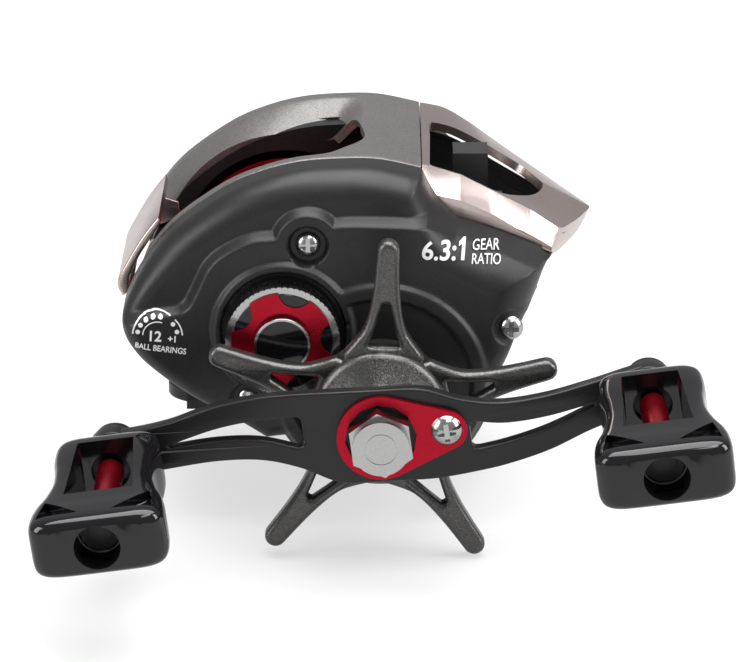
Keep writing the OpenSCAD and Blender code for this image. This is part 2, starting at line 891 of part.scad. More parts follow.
module guide_rod() {
    color("silver")
        at_worm()
            translate([guide_rod_dx, 0, guide_rod_dz])
                rod_y(guide_rod_r, near_out + 1.5, far_out - 1.5);
}

module worm_bushes() {
    color("dimgray")
        at_worm() {
            tube_y(worm_bush_r, worm_end_r + run, near_out, near_in);
            tube_y(worm_bush_r, worm_end_r + run, far_in, far_out);
        }
}

module worm_guard() {
    color([0.2, 0.2, 0.21])
        at_worm()
            difference() {
                tube_y(guard_r, worm_r + 0.5, near_in, far_in);
                translate([-8, near_in + 1.5, -16])
                    cube([16, far_in - near_in - 3, 14.6]);
            }
}

module worm_shaft() {
    pitch = 5;
    turns = (far_in - near_in - 3) / pitch;
    color("silver")
        at_worm()
            difference() {
                union() {
                    rod_y(worm_end_r, worm_gear_y - 1.4, far_out - 0.2);
                    rod_y(worm_r, near_in + 0.5, far_in - 0.5);
                }
                for (i = [1 : floor(turns)])
                    for (lean = [-1, 1])
                        translate([0, near_in + 1.5 + i * pitch - pitch / 2, 0])
                            rotate([lean * 22, 0, 0])
                                tube_y(worm_r + 2, worm_r - 0.5, -0.4, 0.4);
            }
}

module worm_gear() {
    color("ivory")
        at_worm()
            translate([0, worm_gear_y, 0])
                gear(worm_teeth, cog_module, worm_gear_w, worm_end_r, worm_angle + 180 + 180 / worm_teeth);
}

module line_guide() {
    color([0.22, 0.22, 0.23])
        difference() {
            union() {
                translate([worm_x - 2.2, guide_y - guide_w / 2, worm_z + guard_r + slip])
                    cube([6.4, guide_w, guide_top_z - worm_z - guard_r - slip]);
                translate([worm_x + guard_r + slip, guide_y - guide_w / 2, worm_z - 7])
                    cube([2.6, guide_w, 18]);
                translate([worm_x - 3, guide_y - guide_w / 2, worm_z - 10.6])
                    cube([3 + guard_r + slip + 2.6, guide_w, 5]);
            }
            at_worm()
                translate([guide_rod_dx, 0, guide_rod_dz])
                    rod_y(guide_rod_r + run, -40, 40);
            translate([worm_x - 10, guide_y, worm_z + eye_dz])
                rotate([0, 90, 0])
                    cylinder(r = eye_r, h = 30);
            translate([worm_x, guide_y, worm_z - 11])
                cylinder(r = pawl_r + run, h = 6);
        }
}

module line_eye() {
    color("silver")
        translate([worm_x - 2.4, guide_y, worm_z + eye_dz])
            rotate([0, 90, 0])
                difference() {
                    cylinder(r = eye_r - 0.03, h = 7.6);
                    translate([0, 0, -1])
                        cylinder(r = eye_r - 0.8, h = 12);
                }
}

module guide_pawl() {
    color("silver")
        translate([worm_x, guide_y, worm_z - 10.6])
            cylinder(r = pawl_r, h = 10.6 - worm_r - 0.1);
}

module pawl_cap() {
    color("dimgray")
        translate([worm_x, guide_y, worm_z - 12.2])
            cylinder(r = 2.4, h = 1.6, $fn = 6);
}

module drive_shaft() {
    color("silver")
        at_drive()
            union() {
                rod_y(drive_r, handle_y1, near_in);
                rod_y(thread_r, drive_end, handle_y1);
            }
}

module main_gear() {
    color("goldenrod")
        at_drive()
            difference() {
                translate([0, main_gear_y, 0])
                    gear(main_teeth, gear_module, main_gear_w, drive_r + 0.05, mesh_angle);
                tube_y(washer_r + 0.3, drive_r + 1.2, main_gear_y - main_gear_w, washer_y1);
            }
}

module drag_washers() {
    color([0.15, 0.15, 0.15])
        at_drive()
            for (i = [0 : 1])
                tube_y(washer_r, drive_r + 1.3, washer_y0 + i * washer_t, washer_y0 + (i + 1) * washer_t - 0.05);
}

module pressure_plate() {
    color("silver")
        at_drive()
            difference() {
                tube_y(washer_r - 1, drive_r + 0.02, plate_y0, washer_y0);
                for (i = [0 : 2])
                    rotate([0, i * 120, 0])
                        translate([washer_r - 4, 0, 0])
                            rod_y(1.6, plate_y0 - 1, washer_y0 + 1, 32);
            }
}

module guide_drive_gear() {
    color("ivory")
        at_drive()
            translate([0, cog_y, 0])
                gear(cog_teeth, cog_module, cog_w, drive_r + 0.05, worm_angle);
}

module ratchet_wheel() {
    teeth = 12;
    y1 = cog_y - cog_w / 2;
    color("silver")
        at_drive() {
            tube_y(5, drive_r + 0.02, main_gear_y + main_gear_w / 2, y1 - 1.2);
            slab(y1 - 1.3, y1)
                difference() {
                    polygon([for (i = [0 : teeth - 1]) for (c = [[7.4, 0], [9.2, 0.12]])
                        let (a = (i + c.y) * 360 / teeth) c.x * [cos(a), sin(a)]]);
                    circle(drive_r + 0.02);
                }
        }
}

// One arm from the hub to its tip
module star_arm() {
    difference() {
        polygon(concat(
            curve([[star_hub_r * 0.6, star_hub_r * 0.86], [star_hub_r + 1.5, 5.2], [star_hub_r + 5, 3.3],
                [star_hub_r + 11, 2.3], [star_r - 1.9, 1.9]], 4),
            [for (a = [80 : -20 : -80]) [star_r - 1.9, 0] + 1.9 * [cos(a), sin(a)]],
            curve([[star_r - 1.9, -1.9], [star_hub_r + 11, -2.3], [star_hub_r + 5, -3.3],
                [star_hub_r + 1.5, -5.2], [star_hub_r * 0.6, -star_hub_r * 0.86]], 4),
            [[star_hub_r * 0.6, -star_hub_r * 0.86]]));
        polygon([[star_hub_r + 0.8, 2.5], [star_hub_r + 8, 0.4], [star_hub_r + 8, -0.4],
            [star_hub_r + 0.8, -2.5]]);
    }
}

module star_wheel() {
    color([0.3, 0.29, 0.29])
        at_drive()
            difference() {
                union() {
                    slab(star_arm_y - star_arm_t / 2, star_arm_y + star_arm_t / 2)
                        for (i = [0 : star_arms - 1])
                            rotate(star_turn + i * 360 / star_arms)
                                star_arm();
                    rod_y(star_hub_r, star_y0, star_y1);
                }
                rod_y(drive_r + 0.06, star_y0 - 1, star_y1 + 1);
                rod_y(star_nut_r + 0.1, star_y1 - 1.8, star_y1 + 1);
            }
}

module star_nut() {
    color("goldenrod")
        at_drive()
            tube_y(star_nut_r, drive_r + 0.06, star_y1 - 1.8, star_y1);
}

module star_springs() {
    color("silver")
        at_drive()
            for (i = [0 : 1])
                tube_y(5.6, drive_r, star_y1 + i * 0.45, star_y1 + 0.45 + i * 0.45);
}

// One side of the handle, which leaves the hub low and rises to its knob
module handle_side(slot_start) {
    difference() {
        union() {
            polygon(concat(curve(bar_under, 4), [bar_under[len(bar_under) - 1]],
                curve(bar_over, 4), [bar_over[len(bar_over) - 1]]));
            translate([handle_span / 2, 0])
                circle(boss_r);
        }
        polygon(concat([[slot_start, bar_under[2].y + lower_bar_w + 0.6]],
            curve([for (i = [2 : 5]) bar_under[i] + [0, lower_bar_w]], 4),
            [[slot_end + 0.6, (bar_under[5].y + lower_bar_w + bar_over[2].y - upper_bar_w) / 2]],
            curve([for (i = [2 : 5]) bar_over[i] - [0, upper_bar_w]], 4),
            [[slot_start, bar_over[5].y - upper_bar_w]]));
    }
}

module handle_place() {
    at_drive()
        rotate([0, handle_tilt, 0])
            children();
}

module handle_arm() {
    color([0.1, 0.1, 0.1])
        handle_place()
            difference() {
                union() {
                    slab(handle_y0, handle_y1)
                        circle(hub_half + 0.6);
                    for (side = [0, 1])
                        rotate([0, side * 180, 0])
                            translate([hub_half, handle_y0, 0])
                                rotate([0, 0, sweep_angle])
                                    translate([-hub_half, 0, 0])
                                        slab(0, handle_t)
                                            intersection() {
                                                handle_side(side == 0 ? retainer_reach + 3.9 : hub_half + 0.8);
                                                translate([hub_half - 0.15, -50])
                                                    square([100, 100]);
                                            }
                    slab(handle_y0, handle_y1)
                        intersection() {
                            union()
                                for (side = [0, 180])
                                    rotate(side)
                                        handle_side(20);
                            square([2 * hub_half + 0.4, 100], center = true);
                        }
                    for (side = [-1, 1])
                        translate([side * handle_span / 2, 0, 0])
                            rod_y(boss_r, end_y0, end_y1);
                }
                rod_y(thread_r, handle_y0 - 1, handle_y1 + 1);
                for (side = [-1, 1])
                    translate([side * handle_span / 2, 0, 0])
                        rod_y(spindle_r, end_y0 - 5, end_y1 + 5);
                translate([retainer_reach, 0, 0])
                    rod_y(retainer_screw_r, handle_y0 - 1, handle_y1 + 2);
                for (side = [-1, 1])
                    translate([side * handle_span / 2, 0, 0]) {
                        rod_y(boss_r + 1, end_y0 - 5, end_y0);
                        rod_y(boss_r + 1, end_y1, end_y1 + 5);
                    }
            }
}

module handle_nut() {
    color("silver")
        handle_place()
            difference() {
                union() {
                    rotate([0, 30, 0])
                        rod_y(nut_flat_r / cos(30), handle_y0 - nut_h, handle_y0, 6);
                    rod_y(cap_r, handle_y0 - nut_h - cap_h, handle_y0 - nut_h);
                }
                rod_y(thread_r, handle_y0 - nut_h, handle_y0 + 1);
                tube_y(2.9, 2.7, handle_y0 - nut_h - 3, handle_y0 - nut_h - cap_h + 0.15);
            }
}

module nut_retainer() {
    star_r1 = nut_flat_r / cos(30) + 0.25;
    color([0.62, 0.06, 0.12])
        handle_place()
            slab(handle_y0 - retainer_t, handle_y0)
                difference() {
                    hull() {
                        circle(retainer_r);
                        translate([retainer_reach, 0])
                            circle(3.6);
                    }
                    circle(star_r1, $fn = 12);
                    translate([retainer_reach, 0])
                        circle(retainer_screw_r);
                }
}

module retainer_screw() {
    color("silver")
        handle_place()
            translate([retainer_reach, 0, 0])
                pan_screw(handle_y0 - retainer_t, handle_y1 - 0.2, 2.9, retainer_screw_r - run, 3.2);
}

module at_knobs(sides) {
    handle_place()
        for (side = sides)
            translate([side * handle_span / 2, 0, 0])
                children();
}

module knob_spindles() {
    color("silver")
        at_knobs([-1, 1]) {
            rod_y(spindle_r, spindle_end, end_y1);
            rod_y(boss_r - 0.6, end_y1, end_y1 + spindle_head_t);
        }
}

module knob_sleeves() {
    color([0.62, 0.06, 0.12])
        at_knobs([-1, 1])
            tube_y(sleeve_out_r, spindle_r, knob_y0 + knob_bridge + 0.1, knob_y1 - knob_inner_wall - 0.1);
}

// Paddle of a knob in plan, from its inner end at 0 to its outer end
module knob_plan() {
    half = knob_w / 2;
    polygon(concat(
        curve([[half * 0.62, 0.4], [half * 0.8, 2.6], [half * 0.8, 7], [half * 0.76, 13], [half * 0.8, 21],
            [half * 0.95, knob_flare], [half, knob_l - 3], [half * 0.88, knob_l - 0.3], [0, knob_l]], 4),
        curve([[0, knob_l], [-half * 0.88, knob_l - 0.3], [-half, knob_l - 3], [-half * 0.95, knob_flare],
            [-half * 0.8, 21], [-half * 0.76, 13], [-half * 0.8, 7], [-half * 0.8, 2.6],
            [-half * 0.62, 0.4], [-half * 0.4, 0]], 4),
        [[half * 0.4, 0]]));
}

module knob_body() {
    difference() {
        translate([0, knob_y1, -knob_h / 2])
            mirror([0, 1, 0])
                linear_extrude(knob_h)
                    knob_plan();
        translate([-knob_w * 0.24, knob_y0 + knob_bridge, -knob_h])
            cube([knob_w * 0.48, knob_l - knob_bridge - knob_inner_wall, 2 * knob_h]);
        for (side = [-1, 1])
            for (face = [-1, 1])
                translate([0, knob_y0 + 6.4, face * knob_h / 2])
                    linear_extrude(5, center = true)
                        polygon([[side * knob_w * 0.1, -0.4], [side * knob_w * 0.36, 4.4],
                            [side * knob_w * 0.43, -1.6]]);
        rod_y(3.9, knob_y0 - 1, knob_y0 + 7);
        rod_y(bush_r, knob_y0 - 1, knob_y0 + knob_bridge + 0.1);
        rod_y(bush_r, knob_y1 - knob_inner_wall - 0.1, knob_y1 + 1);
    }
}

module rear_knob() {
    color([0.06, 0.06, 0.06])
        at_knobs([-1])
            knob_body();
}

module front_knob() {
    color([0.06, 0.06, 0.06])
        at_knobs([1])
            knob_body();
}

module knob_bushes() {
    tube_y(bush_r, spindle_r + run, knob_y0 + 7, knob_y0 + 10.3);
    tube_y(bush_r, spindle_r + run, knob_y1 - 4, knob_y1 - 0.2);
}

module rear_knob_bushes() {
    color("goldenrod")
        at_knobs([-1])
            knob_bushes();
}

module front_knob_bushes() {
    color("goldenrod")
        at_knobs([1])
            knob_bushes();
}

module tension_knob() {
    knurls = 60;
    color("silver")
        at_spool()
            difference() {
                rod_y(tension_r, tension_y0, tension_y1);
                rod_y(tension_thread_r + 0.06, tension_y1 - 3, tension_y1 + 1);
                rod_y(spool_shaft_r + 1, tension_y1 - 4, tension_y1 + 1);
                for (i = [0 : knurls - 1])
                    rotate([0, i * 360 / knurls, 0])
                        translate([tension_r + 0.1, 0, 0])
                            rod_y(0.3, tension_y0 - 1, tension_y1 + 1, 4);
            }
}

module tension_insert() {
    color([0.62, 0.06, 0.12])
        at_spool()
            difference() {
                tube_y(tension_r - 1.1, cap_inner_r, insert_y0, tension_y0);
                for (i = [0 : 4])
                    rotate([0, -4 - i * 72, 0])
                        translate([tension_r - 0.2, 0, 0])
                            rod_y(3.2, insert_y0 - 1, tension_y0 + 1, 36);
            }
}

module tension_cap() {
    color([0.1, 0.1, 0.1])
        at_spool() {
            rod_y(cap_inner_r, insert_y0 - 1.4, tension_y0);
        }
}

module tension_o_ring() {
    color([0.1, 0.1, 0.1])
        at_spool()
            tube_y(tension_thread_r - 0.1, tail_bearing_r + 0.6, face_y - 3.6, face_y - 3.2);
}

module tension_shim() {
    color("goldenrod")
        at_spool()
            rod_y(tail_bearing_r - 0.8, tail_bearing_y - tail_bearing_w - 0.4, tail_bearing_y - tail_bearing_w);
}

frame();
reel_foot();
foot_rivets();
handle_side_cover();
cover_screws();
thumb_rest_hood();
nose_cover();
palm_side_cover();
palm_cover_screws();
palm_spool_bearing();
pinion_bearing();
spool_tail_bearing();
drive_bearing();
one_way_clutch();
clutch_sleeve();
clutch_spring_pins();
brake_plate();
brake_dial();
guide_rod();
worm_guard();
worm_bushes();
worm_shaft();
worm_gear();
line_guide();
line_eye();
guide_pawl();
pawl_cap();
spool();
spool_shaft();
spool_pin();
pinion();
clutch_yoke();
thumb_bar();
thumb_bar_pins();
drive_shaft();
main_gear();
drag_washers();
pressure_plate();
guide_drive_gear();
ratchet_wheel();
star_wheel();
star_nut();
star_springs();
handle_arm();
handle_nut();
nut_retainer();
retainer_screw();
knob_spindles();
knob_sleeves();
rear_knob();
front_knob();
rear_knob_bushes();
front_knob_bushes();
tension_knob();
tension_insert();
tension_cap();
tension_o_ring();
tension_shim();
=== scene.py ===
import json
import math
import bmesh
import bpy
import numpy as np
from mathutils import Matrix, Vector
from mathutils.bvhtree import BVHTree


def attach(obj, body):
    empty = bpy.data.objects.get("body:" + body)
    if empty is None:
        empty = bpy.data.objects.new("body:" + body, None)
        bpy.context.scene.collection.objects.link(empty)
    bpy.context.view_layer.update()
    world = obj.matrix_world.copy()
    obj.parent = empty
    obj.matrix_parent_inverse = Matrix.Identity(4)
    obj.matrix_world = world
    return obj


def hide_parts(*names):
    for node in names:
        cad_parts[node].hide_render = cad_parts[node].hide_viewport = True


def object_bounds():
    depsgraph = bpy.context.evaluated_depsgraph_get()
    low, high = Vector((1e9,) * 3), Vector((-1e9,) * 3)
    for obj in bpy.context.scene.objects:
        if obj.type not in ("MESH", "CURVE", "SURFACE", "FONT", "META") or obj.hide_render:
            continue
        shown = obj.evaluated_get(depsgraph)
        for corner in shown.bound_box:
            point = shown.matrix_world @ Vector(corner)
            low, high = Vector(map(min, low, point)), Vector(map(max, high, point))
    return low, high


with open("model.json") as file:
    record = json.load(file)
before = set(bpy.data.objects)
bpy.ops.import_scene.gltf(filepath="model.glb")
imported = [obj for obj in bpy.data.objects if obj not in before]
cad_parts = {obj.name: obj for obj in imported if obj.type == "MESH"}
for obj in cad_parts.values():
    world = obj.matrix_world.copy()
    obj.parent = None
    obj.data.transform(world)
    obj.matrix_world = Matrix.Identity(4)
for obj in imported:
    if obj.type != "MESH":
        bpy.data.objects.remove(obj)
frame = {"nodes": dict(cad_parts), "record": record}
nodes = frame["nodes"]
bounds_at_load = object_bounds()

# Camera, floor and light
# A long lens looks down at the handle side by 20.5 degrees.
# The white floor fills the view, and large soft panels light the reel from above and both sides.
scene = bpy.context.scene
cam_data = bpy.data.cameras.new("camera")
cam_data.sensor_width = 36
cam_data.lens = 171.66
cam_data.clip_start = 0.05
camera = bpy.data.objects.new("camera", cam_data)
camera.location = (0.0084, -0.6332, 0.2485)
camera.rotation_euler = (math.radians(69.5), 0, 0)
scene.collection.objects.link(camera)
scene.camera = camera
scene.view_settings.view_transform = "Standard"

floor_z = bounds_at_load[0][2] - 0.0006
floor_mesh = bpy.data.meshes.new("floor")
floor_mesh.from_pydata([(-6, -6, floor_z), (6, -6, floor_z), (6, 6, floor_z), (-6, 6, floor_z)], [], [(0, 1, 2, 3)])
floor = bpy.data.objects.new("floor", floor_mesh)
scene.collection.objects.link(floor)
floor_mat = bpy.data.materials.new("floor")
floor_mat.use_nodes = True
ft = floor_mat.node_tree
ft.nodes.clear()
f_out = ft.nodes.new("ShaderNodeOutputMaterial")
f_mix = ft.nodes.new("ShaderNodeMixShader")
f_mix.inputs[0].default_value = 0.6
f_dif = ft.nodes.new("ShaderNodeBsdfDiffuse")
f_dif.inputs["Color"].default_value = (0.9, 0.9, 0.9, 1)
f_emi = ft.nodes.new("ShaderNodeEmission")
f_emi.inputs["Color"].default_value = (1, 1, 1, 1)
f_path = ft.nodes.new("ShaderNodeLightPath")
f_seen = ft.nodes.new("ShaderNodeMix")
f_seen.data_type = "FLOAT"
f_seen.inputs["A"].default_value = 0.96
f_seen.inputs["B"].default_value = 0.42
ft.links.new(f_path.outputs["Is Glossy Ray"], f_seen.inputs["Factor"])
ft.links.new(f_seen.outputs["Result"], f_emi.inputs["Strength"])
ft.links.new(f_dif.outputs[0], f_mix.inputs[1])
ft.links.new(f_emi.outputs[0], f_mix.inputs[2])
ft.links.new(f_mix.outputs[0], f_out.inputs[0])
floor_mesh.materials.append(floor_mat)

world = bpy.data.worlds.new("studio")
scene.world = world
world.use_nodes = True
wt = world.node_tree
wt.nodes.clear()
w_out = wt.nodes.new("ShaderNodeOutputWorld")
w_path = wt.nodes.new("ShaderNodeLightPath")
w_mix = wt.nodes.new("ShaderNodeMixShader")
w_dim = wt.nodes.new("ShaderNodeBackground")
w_dim.inputs["Color"].default_value = (0.5, 0.5, 0.51, 1)
w_dim.inputs["Strength"].default_value = 0.7
w_white = wt.nodes.new("ShaderNodeBackground")
w_white.inputs["Color"].default_value = (1, 1, 1, 1)
w_white.inputs["Strength"].default_value = 1.0
wt.links.new(w_path.outputs["Is Camera Ray"], w_mix.inputs[0])
wt.links.new(w_dim.outputs[0], w_mix.inputs[1])
wt.links.new(w_white.outputs[0], w_mix.inputs[2])
wt.links.new(w_mix.outputs[0], w_out.inputs[0])


def panel(name, place, aim, size, power):
    data = bpy.data.lights.new(name, "AREA")
    data.shape = "RECTANGLE"
    data.size, data.size_y = size
    data.energy = power
    obj = bpy.data.objects.new(name, data)
    obj.location = place
    obj.rotation_euler = (Vector(aim) - Vector(place)).to_track_quat("-Z", "Y").to_euler()
    scene.collection.objects.link(obj)


panel("top panel", (0.05, 0.1, 0.95), (0.0, 0.0, 0.0), (1.0, 0.8), 14)
panel("left panel", (-0.85, -0.35, 0.45), (0.0, 0.0, 0.01), (0.35, 0.7), 5)
panel("right panel", (0.85, -0.25, 0.5), (0.0, 0.0, 0.01), (0.35, 0.7), 6)
panel("front panel", (0.25, -0.5, 1.0), (0.0, 0.0, 0.01), (0.5, 0.25), 2)


# Shared surface effects
# One node group adds fine grain and soft smudges, and another adds metal flakes.
# Both give only values and a normal, so each material mixes them on its own shader.
def group(name, ins, outs):
    g = bpy.data.node_groups.new(name, "ShaderNodeTree")
    for n, v in ins:
        g.interface.new_socket(n, in_out="INPUT", socket_type="NodeSocketFloat").default_value = v
    for n, kind in outs:
        g.interface.new_socket(n, in_out="OUTPUT", socket_type=kind)
    return g, g.nodes.new("NodeGroupInput"), g.nodes.new("NodeGroupOutput")


grain_group, gi, go = group("grain", [("Size", 3000.0), ("Bump", 0.05)],
    [("Smudge", "NodeSocketFloat"), ("Grain", "NodeSocketFloat"), ("Normal", "NodeSocketVector")])
g_co = grain_group.nodes.new("ShaderNodeTexCoord")
g_fine = grain_group.nodes.new("ShaderNodeTexNoise")
g_fine.inputs["Detail"].default_value = 3
g_soft = grain_group.nodes.new("ShaderNodeTexNoise")
g_soft.inputs["Scale"].default_value = 90
g_soft.inputs["Detail"].default_value = 5
g_bump = grain_group.nodes.new("ShaderNodeBump")
g_bump.inputs["Distance"].default_value = 0.0002
for a, b in ((g_co.outputs["Object"], g_fine.inputs["Vector"]), (g_co.outputs["Object"], g_soft.inputs["Vector"]),
             (gi.outputs["Size"], g_fine.inputs["Scale"]), (gi.outputs["Bump"], g_bump.inputs["Strength"]),
             (g_fine.outputs[0], g_bump.inputs["Height"]), (g_soft.outputs[0], go.inputs["Smudge"]),
             (g_fine.outputs[0], go.inputs["Grain"]), (g_bump.outputs[0], go.inputs["Normal"])):
    grain_group.links.new(a, b)

flake_group, fi, fo = group("flakes", [("Size", 5000.0), ("Tilt", 0.3)],
    [("Sparkle", "NodeSocketFloat"), ("Normal", "NodeSocketVector")])
k_co = flake_group.nodes.new("ShaderNodeTexCoord")
k_cell = flake_group.nodes.new("ShaderNodeTexVoronoi")
k_geo = flake_group.nodes.new("ShaderNodeNewGeometry")
k_sub = flake_group.nodes.new("ShaderNodeVectorMath")
k_sub.operation = "SUBTRACT"
k_sub.inputs[1].default_value = (0.5, 0.5, 0.5)
k_mul = flake_group.nodes.new("ShaderNodeVectorMath")
k_mul.operation = "SCALE"
k_add = flake_group.nodes.new("ShaderNodeVectorMath")
k_nor = flake_group.nodes.new("ShaderNodeVectorMath")
k_nor.operation = "NORMALIZE"
k_sep = flake_group.nodes.new("ShaderNodeSeparateColor")
for a, b in ((k_co.outputs["Object"], k_cell.inputs["Vector"]), (fi.outputs["Size"], k_cell.inputs["Scale"]),
             (k_cell.outputs["Color"], k_sub.inputs[0]), (k_sub.outputs[0], k_mul.inputs[0]),
             (fi.outputs["Tilt"], k_mul.inputs["Scale"]), (k_mul.outputs[0], k_add.inputs[0]),
             (k_geo.outputs["Normal"], k_add.inputs[1]), (k_add.outputs[0], k_nor.inputs[0]),
             (k_nor.outputs[0], fo.inputs["Normal"]), (k_cell.outputs["Color"], k_sep.inputs[0]),
             (k_sep.outputs[0], fo.inputs["Sparkle"])):
    flake_group.links.new(a, b)


def surface(name, dark, light, metal, rough, grain=3000, bump=0.05, coat=0.0, flakes=None, coat_rough=0.05,
            shine=0.5):
    """Material whose colour runs from dark to light with the grain, rough is its lowest and highest roughness."""
    mat = bpy.data.materials.new(name)
    mat.use_nodes = True
    t = mat.node_tree
    p = t.nodes["Principled BSDF"]
    p.inputs["Metallic"].default_value = metal
    p.inputs["Specular IOR Level"].default_value = shine
    p.inputs["Coat Weight"].default_value = coat
    p.inputs["Coat Roughness"].default_value = coat_rough
    g = t.nodes.new("ShaderNodeGroup")
    g.node_tree = grain_group
    g.inputs["Size"].default_value = grain
    g.inputs["Bump"].default_value = bump
    ramp = t.nodes.new("ShaderNodeMapRange")
    ramp.inputs["From Min"].default_value = 0.35
    ramp.inputs["From Max"].default_value = 0.65
    ramp.inputs["To Min"].default_value = rough[0]
    ramp.inputs["To Max"].default_value = rough[1]
    t.links.new(g.outputs["Smudge"], ramp.inputs["Value"])
    t.links.new(ramp.outputs[0], p.inputs["Roughness"])
    mix = t.nodes.new("ShaderNodeMix")
    mix.data_type = "RGBA"
    mix.inputs["A"].default_value = (*dark, 1)
    mix.inputs["B"].default_value = (*light, 1)
    t.links.new(mix.outputs["Result"], p.inputs["Base Color"])
    if flakes:
        f = t.nodes.new("ShaderNodeGroup")
        f.node_tree = flake_group
        f.inputs["Size"].default_value = flakes[0]
        f.inputs["Tilt"].default_value = flakes[1]
        t.links.new(f.outputs["Sparkle"], mix.inputs["Factor"])
        t.links.new(f.outputs["Normal"], p.inputs["Normal"])
    else:
        t.links.new(g.outputs["Grain"], mix.inputs["Factor"])
        t.links.new(g.outputs["Normal"], p.inputs["Normal"])
    return mat


mats = {
    "matte_black_cover": surface("satin graphite shell", (0.006, 0.006, 0.0065), (0.018, 0.018, 0.0185), 0.0,
        (0.34, 0.42), 2600, 0.1, shine=0.4),
    "grey_paint": surface("metallic grey paint", (0.1, 0.094, 0.09), (0.2, 0.19, 0.183), 0.6, (0.42, 0.48),
        coat=0.25, flakes=(8000, 0.16), coat_rough=0.25),
    "champagne": surface("champagne plating", (0.5, 0.42, 0.395), (0.62, 0.525, 0.5), 0.95, (0.2, 0.27), 2500, 0.03),
    "frame_black": surface("black anodised frame", (0.012, 0.012, 0.013), (0.03, 0.03, 0.032), 0.6, (0.32, 0.42),
        2400, 0.08),
    "dark_plastic": surface("satin black plastic", (0.01, 0.01, 0.011), (0.026, 0.026, 0.027), 0.0, (0.36, 0.46),
        2200, 0.1),
    "gloss_black": surface("gloss black", (0.003, 0.003, 0.0035), (0.006, 0.006, 0.007), 0.0, (0.05, 0.09),
        1800, 0.005, shine=0.5),
    "anodised_black": surface("satin black anodised", (0.006, 0.006, 0.0065), (0.015, 0.015, 0.016), 0.2,
        (0.28, 0.36), 3600, 0.08, shine=0.45),
    "red_anodised": surface("red anodised", (0.34, 0.004, 0.016), (0.47, 0.009, 0.026), 0.85, (0.22, 0.3), 3000, 0.04),
    "star_grey": surface("sparkling dark grey", (0.05, 0.048, 0.047), (0.13, 0.127, 0.124), 0.85, (0.3, 0.36),
        coat=0.35, flakes=(8500, 0.26), coat_rough=0.16),
    "steel": surface("ground steel", (0.27, 0.27, 0.28), (0.4, 0.4, 0.4), 1.0, (0.2, 0.3), 3000, 0.06),
    "nickel": surface("bright nickel", (0.4, 0.4, 0.4), (0.52, 0.52, 0.51), 1.0, (0.14, 0.22), 2600, 0.03),
    "brass": surface("machined brass", (0.55, 0.36, 0.12), (0.7, 0.48, 0.18), 1.0, (0.22, 0.32), 2800, 0.05),
    "white_plastic": surface("natural acetal", (0.68, 0.66, 0.6), (0.8, 0.78, 0.72), 0.0, (0.35, 0.45), 2000, 0.05),
    "carbon_washer": surface("woven drag disc", (0.01, 0.01, 0.01), (0.05, 0.05, 0.05), 0.0, (0.4, 0.55), 1500, 0.2),
    "rubber": surface("black rubber", (0.008, 0.008, 0.008), (0.02, 0.02, 0.02), 0.0, (0.5, 0.65), 2000, 0.15),
}
slot_of = {s["node"]: s["material_slot"] for s in frame["record"]["subparts"]}
body_of = {n: b for b, ns in frame["record"]["behaviour"]["bodies"].items() for n in ns}


def mark_edges(mesh, angle=32):
    """Faces shade smooth, except across edges sharper than the angle."""
    bm = bmesh.new()
    bm.from_mesh(mesh)
    bmesh.ops.remove_doubles(bm, verts=bm.verts, dist=2e-6)
    bmesh.ops.recalc_face_normals(bm, faces=bm.faces)
    limit = math.radians(angle)
    for f in bm.faces:
        f.smooth = True
    for e in bm.edges:
        e.smooth = len(e.link_faces) == 2 and e.calc_face_angle(0) < limit
    bm.to_mesh(mesh)
    bm.free()


for n, o in nodes.items():
    mat = mats[slot_of[n]]
    if not o.data.materials:
        o.data.materials.append(mat)
    for i in range(len(o.material_slots)):
        o.material_slots[i].material = mat


def piece(name, mesh, node, stands_for=True, angle=32, mat=None):
    """Puts a finished mesh in the scene, on the body of a CAD node."""
    mark_edges(mesh, angle)
    obj = bpy.data.objects.new(name, mesh)
    scene.collection.objects.link(obj)
    mesh.materials.append(mat or mats[slot_of[node]])
    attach(obj, body_of[node])
    if stands_for:
        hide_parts(node)
    return obj


def mesh_mm(name, verts, faces):
    mesh = bpy.data.meshes.new(name)
    mesh.from_pydata([(x * 0.001, y * 0.001, z * 0.001) for x, y, z in verts], [], faces)
    return mesh


def curve(p, n):
    """Smooth open line through points, as in the CAD, with n steps between points."""
    out = []
    for i in range(len(p) - 1):
        a, b, c, d = (np.array(p[k], float) for k in (max(i - 1, 0), i, i + 1, min(i + 2, len(p) - 1)))
        for j in range(n):
            t = j / n
            q = (2 * b + (c - a) * t + (2 * a - 5 * b + 4 * c - d) * t * t + (3 * b - a - 3 * c + d) * t ** 3) / 2
            out.append(tuple(q))
    return out + [tuple(p[-1])]


def ring(cx, cz, r, n=64):
    return [(cx + r * math.cos(2 * math.pi * i / n), cz + r * math.sin(2 * math.pi * i / n)) for i in range(n)]


def plate(name, loops, y0, y1, edge, steps=4):
    """Mesh of XZ loops (the first is the rim, the others are holes) between two Y planes, with rounded edges."""
    data = bpy.data.curves.new(name, "CURVE")
    data.dimensions = "2D"
    data.fill_mode = "BOTH"
    data.extrude = (y1 - y0) / 2 - edge
    data.bevel_depth = edge
    data.bevel_resolution = steps
    data.offset = -edge
    for loop in loops:
        s = data.splines.new("POLY")
        s.points.add(len(loop) - 1)
        for q, (x, z) in zip(s.points, loop):
            q.co = (x, z, 0, 1)
        s.use_cyclic_u = True
    temp = bpy.data.objects.new(name, data)
    mesh = bpy.data.meshes.new_from_object(temp)
    bpy.data.objects.remove(temp)
    bpy.data.curves.remove(data)
    mesh.transform(Matrix(((0.001, 0, 0, 0), (0, 0, -0.001, (y0 + y1) * 0.0005), (0, 0.001, 0, 0), (0, 0, 0, 1))))
    return mesh


def moved(loop, dx, dz, turn=0.0):
    c, s = math.cos(math.radians(turn)), math.sin(math.radians(turn))
    return [(dx + x * c - z * s, dz + x * s + z * c) for x, z in loop]


